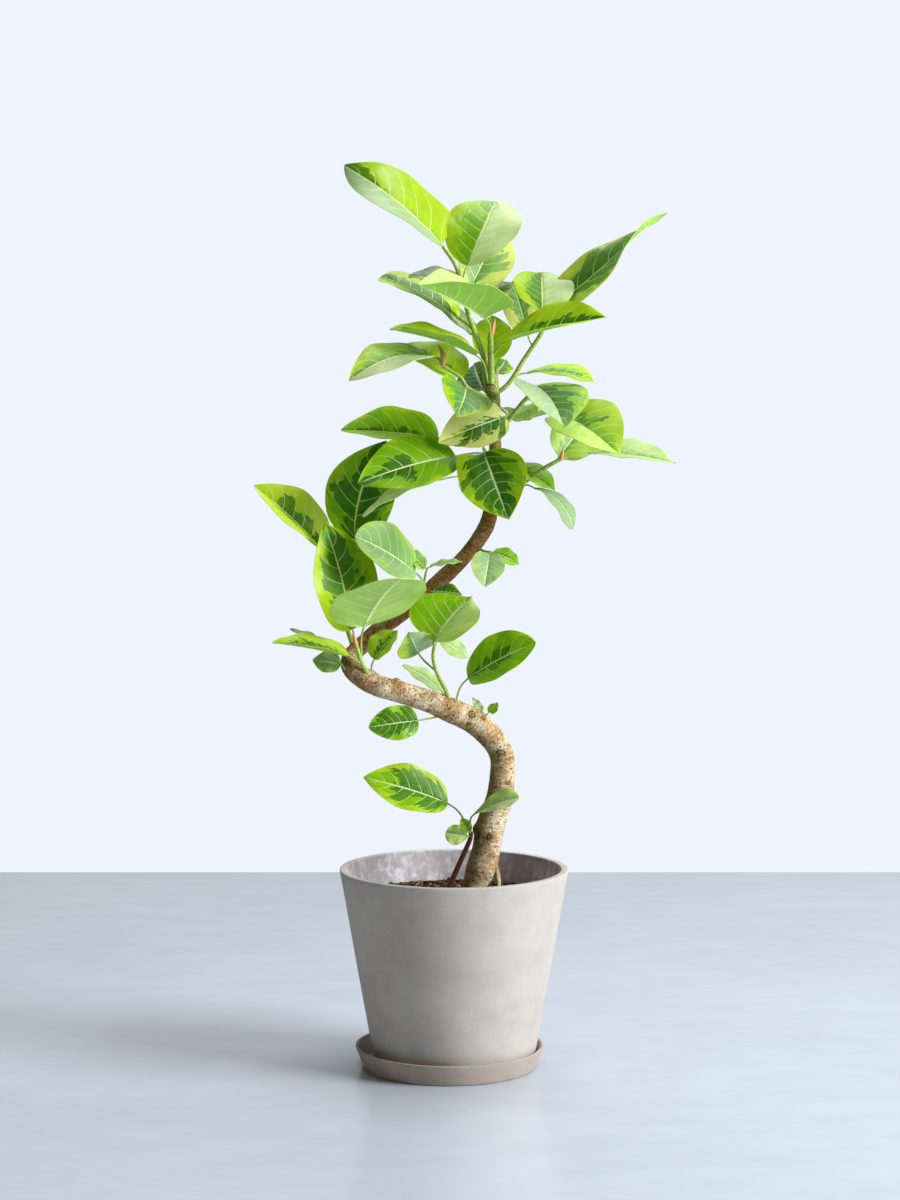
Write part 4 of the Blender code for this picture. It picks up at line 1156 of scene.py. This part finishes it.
        bud=((-104, -44, 464), (-106, -44, 472), (-108.5, -42, 480)), bud_radius=2.6),
    "sprig_inner_left": LeafyStem({
        "glossy": Leaf(
            (-32.5, 9, 528), (-41.5, -5, 542), (-105, -65, 585), 64, turn=-43, fold=21, skew=1.2,
            point=0.5,
            look=Look(dark=(0.7, 0.85), mid=0.8, pale_and_sheen=(0.55, 0.3), grey=(0.8, 0.9), lit=(0.95, 1.05),
                      deep=0.6)),
        "small_left": Leaf(
            (-30.5, 3, 541), (-31, 0, 547), (-54, -4, 566), 20, turn=-40, fold=10,
            look=Look(mid=1, deep=0.6)),
        "small_right": Leaf(
            (-30.5, 3, 541), (-26, 0, 548), (8.5, -5, 553.5), 18, turn=75, fold=10,
            look=Look(dark=0.3, mid=0.8, pale_and_sheen=0.3)),
    }, stem=((-30, 22, 517), (-32.5, 8, 528.5), (-30.5, 2, 542)), radii=(1.6, 1.2)),
    "leaf_inner_small": LeafyStem({"leaf": Leaf(
        (-26, 24, 521), (-22, 12, 519.5), (9, 22, 516), 34, turn=60, fold=10,
        look=Look(dark=0.7, mid=0.9))}),
    "sprig_inner_right": LeafyStem({
        "to_front": Leaf(
            (38, 20, 563), (38.5, 15, 562), (33, -14, 527), 38,
            look=Look(dark=(0.65, 0.6), mid=0.2, grey=(0.8, 0.6), pale_and_sheen=0.7, lit=1.15)),
        "right": Leaf(
            (39, 20, 563), (43, 22, 562), (71, 18, 549), 26, turn=50, fold=10,
            look=Look(dark=0.2, mid=1.3, deep=0.7)),
    }, stem=((22, 32, 568), (34, 22, 563), (40, 19, 563)), radii=(1.6, 1.2)),
    "stem_limb": LeafyStem({
        "folded": Leaf(
            (-21, -45, 466), (-21.5, -45, 471), (20, 0, 517), 94, turn=38, fold=30, skew=0.7, point=1.5,
            look=Look(dark=(0.3, 0.15), mid=(1.2, 0.4), pale_and_sheen=(0, 0.6), lit=(0.8, 1.5), deep=0.35)),
        "grey_left": Leaf(
            (-19, -36, 438), (-38.5, -28, 457), (-48, -50, 481.5), 44, turn=-10, fold=10,
            look=Look(dark=(0.6, 0.8), mid=0.5, grey=(0.2, 0.7), pale_and_sheen=(0.2, 0.9), lit=(1, 1.2))),
        "pale_back": Leaf(
            (-21, -45, 465), (-14, -36, 471), (15, -30, 452), 24, turn=45, fold=10,
            look=Look(dark=0.2, mid=0.3, pale_and_sheen=0.6, grey=0.6)),
    }, stem=((-1, -16, 395), (-10, -26, 418), (-19, -36, 438), (-22.5, -42, 454), (-21, -46, 468)),
        radii=(2.4, 1.8)),
    "leaf_limb_right": LeafyStem({"leaf": Leaf(
        (0, -14, 393), (15.5, -15, 428.5), (87.5, -42, 469), 61, turn=45, fold=21, skew=1, point=0.55,
        look=Look(dark=(0.3, 0.28), mid=0.9, lit=(1.05, 1.15), patch=(0.12, 0.62), deep=0.85))}),
    "leaf_limb_back": LeafyStem({"leaf": Leaf(
        (-8, -14, 398), (-14, 0, 413), (-56, 14, 439.5), 26, turn=-60, fold=10,
        look=Look(dark=0.4, mid=0.4, grey=0.5, pale_and_sheen=0.6, lit=1.15))}),
    "leaf_elbow_small": LeafyStem({"leaf": Leaf(
        (-88, -30, 429), (-85.5, -34, 451), (-60.5, -26, 481), 40, turn=52, fold=22,
        look=Look(dark=0.25, mid=0.4, lit=1.15, patch=(0.1, 0.7), cream=0.1, deep=0.8))}),
    "leaf_elbow_end": LeafyStem({"leaf": Leaf(
        (-110, -27, 441.5), (-122, -32, 445.5), (-152, -27, 449), 25, turn=-20, fold=10,
        look=Look(dark=0.7, mid=0.5, grey=0.9, pale_and_sheen=0.4))}),
    "leaf_elbow_top": LeafyStem({"leaf": Leaf(
        (-112, -36, 433), (-134, -39, 459), (-175.7, -34, 483.5), 22, turn=-70, fold=10,
        look=Look(dark=(0.25, 0), mid=(0.85, 0.2), pale_and_sheen=(0.25, 1), grey=(0.8, 0)))}),
    "leaf_limb_under": LeafyStem({"leaf": Leaf(
        (-4, -17, 390), (-39, -32, 384.5), (-91, -50, 379.5), 39, turn=-15, fold=12, point=0.62,
        look=Look(dark=0.75, mid=2))}),
    "sprig_bend": LeafyStem({
        "left": Leaf(
            (34, -10, 387), (30.5, -10, 392), (20, -12, 407), 9, fold=10,
            look=Look(dark=0, mid=0.1, pale_and_sheen=1)),
        "right": Leaf(
            (34, -10, 387), (38, -12, 391), (47.5, -18, 402), 11, fold=10,
            look=Look(dark=0, mid=1.1)),
    }, stem=((32.5, -5, 374), (34, -10, 388)), radii=(1.2, 1)),
    "stem_side": LeafyStem({
        "left": Leaf(
            (18, -21, 260.5), (-7, -18, 292.5), (-97, -38, 324), 56, turn=-33, fold=17, twist=16,
            skew=0.95,
            look=Look(dark=0.62, mid=0.8, grey=0.1, patch=(-0.3, 0.6))),
        "right": Leaf(
            (18, -21, 260), (22.5, -26, 282.5), (69.8, -40, 301.5), 33, turn=62, fold=18, skew=1.75,
            point=0.4,
            look=Look(dark=(0.3, 0), mid=(0.7, 0.3), pale_and_sheen=(0.5, 1), patch=(0.4, 1.3), deep=0.7)),
        "round": Leaf(
            (17.5, -21, 256.5), (14.5, -24, 257.5), (-9, -30, 262), 23, fold=10, skew=1.3, point=0.45,
            look=Look(dark=(0, 0.6), mid=0.2, pale_and_sheen=(0.5, 0.3), grey=(0, 0.9))),
        "young": Leaf(
            (17.8, -22, 260), (16.5, -25, 262.5), (8.5, -28, 277.5), 13, fold=12, skew=1, point=0.6,
            look=Look(dark=0.4, mid=1, deep=0.8)),
    }, stem=((-16.5, -20, 150), (-11, -20, 186), (-3.8, -20, 204.5), (7, -20, 229.5), (17, -20, 252.5),
        (18.2, -21, 262)), radii=(3.6, 2.4), cork=1),
}


@dataclass
class Trunk:
    """The bent trunk, with its swollen knots, its cut stub and its surface root grown into it."""

    sides: int = 60
    steps: int = 10
    ring_mm: float = 3.2
    ring_height: float = 0.00035
    swell_mm: float = 26.0
    swell_height: float = 0.0008
    knot_height: float = 0.0032
    end_round: tuple = (0.86, 0.6)
    limb_sides: int = 20
    limb_steps: int = 8
    bark: BarkFinish = BarkFinish()

    def relief(self, way: float, angle: float, place: Vector) -> float:
        """How far the bark stands out, from rings, slow swellings and knots.

        Args:
            way: how far along the trunk, in metres.
            angle: the angle round it.
            place: the place on the plain surface.

        Returns:
            The height in metres.
        """
        turn = Vector((math.cos(angle), math.sin(angle), 0.0))
        rings = noise.noise(0.7 * turn + Vector((0, 0, way / (self.ring_mm * MM))))
        swelling = noise.noise(turn + Vector((5, 0, way / (self.swell_mm * MM))))
        height = self.ring_height * rings + self.swell_height * swelling
        return height + self.knot_height * knot_share(place)

    def build(self) -> bpy.types.Object:
        """Build the trunk and dress it with bark."""
        cage = bmesh.new()
        cage.loops.layers.uv.new("bark")
        knots_and_shaded_side = cage.verts.layers.float_vector.new("knots_and_shaded_side")
        line, radii = smooth_limb(TRUNK_LINE, self.steps)
        for row, share in zip((-2, -1), self.end_round):
            radii[row] *= share
        add_tube(cage, line, radii, self.sides, 0, "bark", self.relief)
        for limb in (CUT_STUB, SURFACE_ROOT):
            add_tube(cage, *smooth_limb(limb, self.limb_steps), self.limb_sides, 0, "bark")
        bmesh.ops.recalc_face_normals(cage, faces=cage.faces)
        for vert in cage.verts:
            # How near a knot each point is, and how far it faces left, away from the key light, for painted
            # shade
            vert[knots_and_shaded_side] = (knot_share(vert.co), max(0.0, -vert.normal.x), 0.0)
        return finish_piece(cage, "trunk_bark", [self.bark.material()], ["trunk"], 60.0)


def knot_share(place: Vector) -> float:
    """How near a place is to the heart of a knot, from nothing to one."""
    return max(math.exp(-((place - heart).length / (KNOT_REACH * size)) ** 2) for heart, size in KNOTS)


def arc(centre: tuple, radius: float, start: float, end: float, steps: int = 6) -> list:
    """Points of a profile's round corner.

    Args:
        centre: the corner's centre, as distance from the axis and height.
        radius: its radius.
        start: the angle of its first point, in degrees from outwards.
        end: the angle of its last point.
        steps: how many steps it has.

    Returns:
        The points, the ends among them.
    """
    angles = [math.radians(start + (end - start) * i / steps) for i in range(steps + 1)]
    return [(centre[0] + radius * math.cos(a), centre[1] + radius * math.sin(a)) for a in angles]


def wall(first: tuple, last: tuple, steps: int) -> list:
    """Points between two corners of a profile, without the corners themselves."""
    return [tuple(a + (b - a) * i / steps for a, b in zip(first, last)) for i in range(1, steps)]


def turned(profile: list, steps: int, centre: Vector) -> bmesh.types.BMesh:
    """Turn a profile about a vertical axis.

    Args:
        profile: (distance from the axis, height) points, down the outside and up the inside.
        steps: how many steps a full turn has.
        centre: where the axis stands.

    Returns:
        The closed cage.
    """
    cage = bmesh.new()
    corners = [cage.verts.new((radius, 0, height)) for radius, height in profile]
    edges = [cage.edges.new(pair) for pair in zip(corners, corners[1:])]
    if profile[0][0] > 0 and profile[-1][0] > 0:
        edges.append(cage.edges.new((corners[-1], corners[0])))
    bmesh.ops.spin(cage, geom=corners + edges, cent=(0, 0, 0), axis=(0, 0, 1), angle=2 * math.pi,
                   steps=steps, use_merge=True, use_duplicate=False)
    bmesh.ops.remove_doubles(cage, verts=cage.verts, dist=1e-6)
    bmesh.ops.translate(cage, verts=cage.verts, vec=centre)
    return cage


@dataclass
class Pot:
    """The tapered pot: a plain rim with soft edges, a foot that stands in the saucer, a drain hole."""

    base_radius: float = 0.0868
    wall: float = 0.008
    floor: float = 0.010
    soft_edge: float = 0.0013
    drain_radius: float = 0.010
    steps: int = 160
    waver: float = 0.00025
    outside: CastFinish = CastFinish("cast_grey_wall", "#b5ada5", "#c2bbb2", "#cdc8c1", 0.25)
    inside: CastFinish = CastFinish(
        "cast_grey_inner_wall", "#a49b9b", "#b4abab", "#e4e6ea", 0.8, cloud_mm=40.0)
    low: Vector = field(default_factory=lambda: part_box("pot")[0])
    high: Vector = field(default_factory=lambda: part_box("pot")[1])

    def inner_radius(self, z: float) -> float:
        """Find the radius of the wall's inside.

        Args:
            z: the height in metres.

        Returns:
            The radius in metres.
        """
        rim = (self.high.x - self.low.x) / 2
        taper = (rim - self.base_radius) / (self.high.z - self.low.z)
        return rim - self.wall - taper * (self.high.z - z)

    def build(self) -> bpy.types.Object:
        """Build the pot, dress its outside and inside, and waver its wall a little as a cast one does."""
        rim, top, foot, edge = (self.high.x - self.low.x) / 2, self.high.z, self.low.z, self.soft_edge
        floor = foot + self.floor
        outer = arc((rim - edge, top - edge), edge, 90, -8)
        heel = arc((self.base_radius - 0.3 * edge, foot + edge), edge, -8, -90)
        lip = arc((self.inner_radius(top) + edge, top - edge), edge, 180, 90)
        corner = (self.inner_radius(floor + edge), floor + edge)
        profile = [
            *outer, *wall(outer[-1], heel[0], 30), *heel,
            (self.drain_radius, foot), (self.drain_radius, floor),
            (corner[0] - 2 * edge, floor), corner,
            *wall(corner, lip[0], 24), *lip,
        ]
        cage = turned(profile, self.steps, Vector((0, 0, 0)))
        for face in cage.faces:
            centre = face.calc_center_median()
            out = math.hypot(centre.x, centre.y)
            face.material_index = int(out < self.inner_radius(centre.z) + 0.2 * self.wall)
        for vert in cage.verts:
            out = Vector((vert.co.x, vert.co.y, 0.0))
            if out.length > 2 * self.drain_radius:
                vert.co -= out.normalized() * self.waver * (1 + noise.noise(vert.co * 14))
        materials = [self.outside.material(), self.inside.material()]
        return finish_piece(cage, "pot_wall", materials, ["pot"])


@dataclass
class Saucer:
    """The shallow saucer, which stands a little off the pot's axis."""

    base_radius: float = 0.0952
    wall: float = 0.0030
    floor: float = 0.0042
    foot_round: float = 0.003
    soft_edge: float = 0.0006
    steps: int = 144
    finish: CastFinish = CastFinish("cast_warm_grey_wall", "#a6978a", "#b3a598", "#c9c2ba", 0.2)
    low: Vector = field(default_factory=lambda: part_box("saucer")[0])
    high: Vector = field(default_factory=lambda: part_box("saucer")[1])

    def build(self) -> bpy.types.Object:
        """Build the saucer."""
        rim, top = (self.high.x - self.low.x) / 2, self.high.z
        foot, lip = self.foot_round, self.soft_edge
        outer = arc((rim - lip, top - lip), lip, 90, -12, 4)
        heel = arc((self.base_radius - foot, foot), foot, -20, -90)
        corner = arc((self.base_radius - self.wall - foot, self.floor + foot), foot, -90, -12)
        inner = arc((rim - self.wall + lip, top - lip), lip, 168, 90, 4)
        profile = [
            *outer, *wall(outer[-1], heel[0], 6), *heel, (0.0, 0.0), (0.0, self.floor),
            *corner, *wall(corner[-1], inner[0], 6), *inner,
        ]
        centre = Vector(((self.low.x + self.high.x) / 2, (self.low.y + self.high.y) / 2, 0))
        cage = turned(profile, self.steps, centre)
        return finish_piece(cage, "saucer_dish", [self.finish.material()], ["saucer"])


@dataclass
class Soil:
    """The potting mix: a crumbly surface inside the pot, strewn with clods and bark chips."""

    edge_z: float = 0.185
    rise: float = 0.005
    rings: int = 46
    steps: int = 150
    crumb: float = 0.0022
    crumb_mm: float = 6.0
    gap: float = 0.0003
    clods: int = 900
    clod_sizes: tuple = (0.0010, 0.0038)
    chip_share: float = 0.42
    spread: float = 0.96
    raised: float = 0.35
    peat: SoilFinish = SoilFinish("damp_peat", "#1d130c", "#4a3320")
    chip: SoilFinish = SoilFinish("golden_bark_chips", "#5e3f1c", "#b58a48", 3.0)
    low: Vector = field(default_factory=lambda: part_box("soil")[0])
    high: Vector = field(default_factory=lambda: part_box("soil")[1])

    def surface(self, x: float, y: float, edge: float) -> float:
        """Find the height of the crumbly surface, which lies flat against the pot's wall.

        Args:
            x: the place to the right, in metres.
            y: the place to the back.
            edge: the radius of the surface.

        Returns:
            The height in metres.
        """
        share = min(1.0, math.hypot(x, y) / edge)
        plain = self.edge_z + self.rise * (1 + math.cos(math.pi * share)) / 2
        spot = Vector((x, y, 0.0)) / (self.crumb_mm * MM)
        rough = noise.noise(spot) + 0.5 * noise.noise(2.3 * spot) + 0.25 * noise.noise(5.1 * spot)
        return plain + self.crumb * rough * min(1.0, 12 * (1 - share) + 0.25)

    def build(self, pot: Pot) -> list[bpy.types.Object]:
        """Build the soil's body and what is strewn on it.

        Args:
            pot: the pot that it fills.

        Returns:
            The body and the chips.
        """
        edge = pot.inner_radius(self.edge_z) - self.gap
        bottom = self.low.z
        profile = [(edge * i / self.rings, self.edge_z) for i in range(self.rings + 1)]
        foot = pot.inner_radius(bottom + 2 * pot.soft_edge) - self.gap
        profile += [(foot, bottom + 2 * pot.soft_edge), (foot - 2 * pot.soft_edge, bottom), (0.0, bottom)]
        cage = turned(profile, self.steps, Vector((0, 0, 0)))
        for vert in cage.verts:
            if vert.co.z > self.edge_z - 0.001:
                vert.co.z = self.surface(vert.co.x, vert.co.y, edge)
        body = finish_piece(cage, "soil_body", [self.peat.material()], ["soil"], 80.0)
        return [body, self.strew(edge)]

    def strew(self, edge: float) -> bpy.types.Object:
        """Strew clods and chips evenly over the surface.

        Args:
            edge: the radius of the surface.

        Returns:
            The piece that holds them all.
        """
        draw = random.Random(7)
        cage = bmesh.new()
        for _ in range(self.clods):
            angle, out = draw.uniform(0, 2 * math.pi), edge * self.spread * math.sqrt(draw.random())
            x, y = out * math.cos(angle), out * math.sin(angle)
            size = draw.uniform(*self.clod_sizes)
            lump = bmesh.ops.create_icosphere(cage, subdivisions=1, radius=size)["verts"]
            chip = draw.random() < self.chip_share
            flat = draw.uniform(0.3, 0.6) if chip else draw.uniform(0.6, 0.9)
            for vert in lump:
                vert.co *= draw.uniform(0.75, 1.2)
            bmesh.ops.scale(cage, verts=lump, vec=(draw.uniform(0.8, 1.7), draw.uniform(0.6, 1.0), flat))
            turn = Vector((draw.uniform(-0.5, 0.5), draw.uniform(-0.5, 0.5), 1.0)).normalized()
            matrix = turn.to_track_quat("Z", "X").to_matrix()
            bmesh.ops.rotate(cage, verts=lump, matrix=matrix)
            height = self.surface(x, y, edge) + self.raised * flat * size
            bmesh.ops.translate(cage, verts=lump, vec=(x, y, height))
            for face in faces_round(lump):
                face.material_index = int(chip)
        materials = [bpy.data.materials["damp_peat"], self.chip.material()]
        return finish_piece(cage, "soil_clods", materials, ["soil"], 80.0)


@dataclass
class Studio:
    """The plain floor, the pale air behind it, the soft lights and the camera."""

    floor_side: float = 5.0
    floor_back: float = 1.19
    floor_colour: str = "#c0cad3"
    floor_roughness: float = 0.22
    cloud_mm: float = 420.0
    smear: float = 0.12
    air_colour: str = "#eef4fd"
    fill: float = 0.15
    fill_colour: str = "#fff0dc"
    mirrored: float = 0.45
    key_watts: float = 232.0
    light_size: float = 1.8
    key_place: tuple = (3.2, -1.3, 1.9)
    key_colour: str = "#f6f9ff"
    back_watts: float = 65.0
    back_place: tuple = (0.3, 0.6, 3.0)
    back_colour: str = "#f4f8ff"
    target: tuple = (0.0, 0.0, 0.45)

    def build(self) -> None:
        """Build the floor, the lights and the camera."""
        self.lay_floor()
        self.light_air()
        self.hang_light("key", self.key_place, self.key_watts, self.key_colour)
        self.hang_light("back", self.back_place, self.back_watts, self.back_colour)
        self.set_camera()

    def lay_floor(self) -> None:
        """Lay a smooth pale floor, which ends where the photograph's wall starts."""
        cage = bmesh.new()
        bmesh.ops.create_grid(cage, x_segments=1, y_segments=1, size=self.floor_side)
        for vert in cage.verts:
            vert.co.y = self.floor_back if vert.co.y > 0 else vert.co.y
        graph = Graph("sealed_screed", Roughness=self.floor_roughness)
        cloud = graph.noise(graph.here(), self.cloud_mm, 6.0, 0.6)
        smear = graph.noise(graph.here(0.5, 1.0, 1.0), self.smear * self.cloud_mm, 6.0, 0.7)
        broad, fine = graph.ramp(cloud, 0.3, 0.7, 0.94, 1.05), graph.ramp(smear, 0.3, 0.7, 0.955, 1.04)
        colour = graph.shaded(linear(self.floor_colour)[:3], graph.calc("MULTIPLY", broad, fine))
        floor = put("floor", to_mesh(cage, "floor", [graph.wire(Base_Color=colour)]))

    def light_air(self) -> None:
        """Set the pale air, which is seen at its full colour, mirrored at a part of it and lights less."""
        world = bpy.data.worlds.new("studio_air")
        world.use_nodes = True
        bpy.context.scene.world = world
        tree = world.node_tree
        seen = tree.nodes["Background"]
        seen.inputs["Color"].default_value = linear(self.air_colour)
        lit = add_node(tree, "Background", {"Color": linear(self.fill_colour), "Strength": self.fill})
        ray = add_node(tree, "LightPath").outputs
        shares = {0: ray["Is Glossy Ray"], 1: self.mirrored, 2: ray["Is Camera Ray"]}
        shown = add_node(tree, "Math", shares, operation="MULTIPLY_ADD")
        both = add_node(tree, "MixShader", {0: shown.outputs[0], 1: lit.outputs[0], 2: seen.outputs[0]})
        tree.links.new(both.outputs[0], tree.nodes["World Output"].inputs["Surface"])

    def hang_light(self, name: str, place: tuple, watts: float, colour: str) -> None:
        """Hang a soft square light that looks at the plant.

        Args:
            name: its name.
            place: where it hangs.
            watts: its power.
            colour: its sRGB hex colour.
        """
        data = bpy.data.lights.new(name, "AREA")
        data.energy, data.size, data.color = watts, self.light_size, linear(colour)[:3]
        lamp = put(name, data)
        lamp.location = place
        lamp.rotation_euler = (Vector(self.target) - Vector(place)).to_track_quat("-Z", "Y").to_euler()

    def set_camera(self) -> None:
        """Set the camera at the photograph's viewpoint."""
        data = bpy.data.cameras.new("camera")
        data.lens, data.sensor_width = CAMERA_LENS, CAMERA_SENSOR
        camera = put("camera", data)
        camera.location = CAMERA_PLACE
        camera.rotation_euler = (math.radians(CAMERA_TILT), 0.0, 0.0)
        bpy.context.scene.camera = camera
        bpy.context.scene.view_settings.view_transform = "Standard"


def main() -> None:
    """Build every piece in order."""
    logging.basicConfig(level=logging.INFO, format="%(name)s: %(message)s")
    pot = Pot()
    pot.build()
    Saucer().build()
    Soil().build(pot)
    Trunk().build()
    faces = [
        LeafFinish("waxy_leaf_face", roughness=0.36, under=False).material(),
        LeafFinish("matt_leaf_underside", roughness=0.6, under=True).material(),
        StalkFinish().material(),
        BudFinish().material(),
    ]
    for i, (name, stem) in enumerate(STEMS.items()):
        stem.build(name, PIECE_SEED * i, faces)
    Studio().build()


if __name__ == "__main__":
    main()
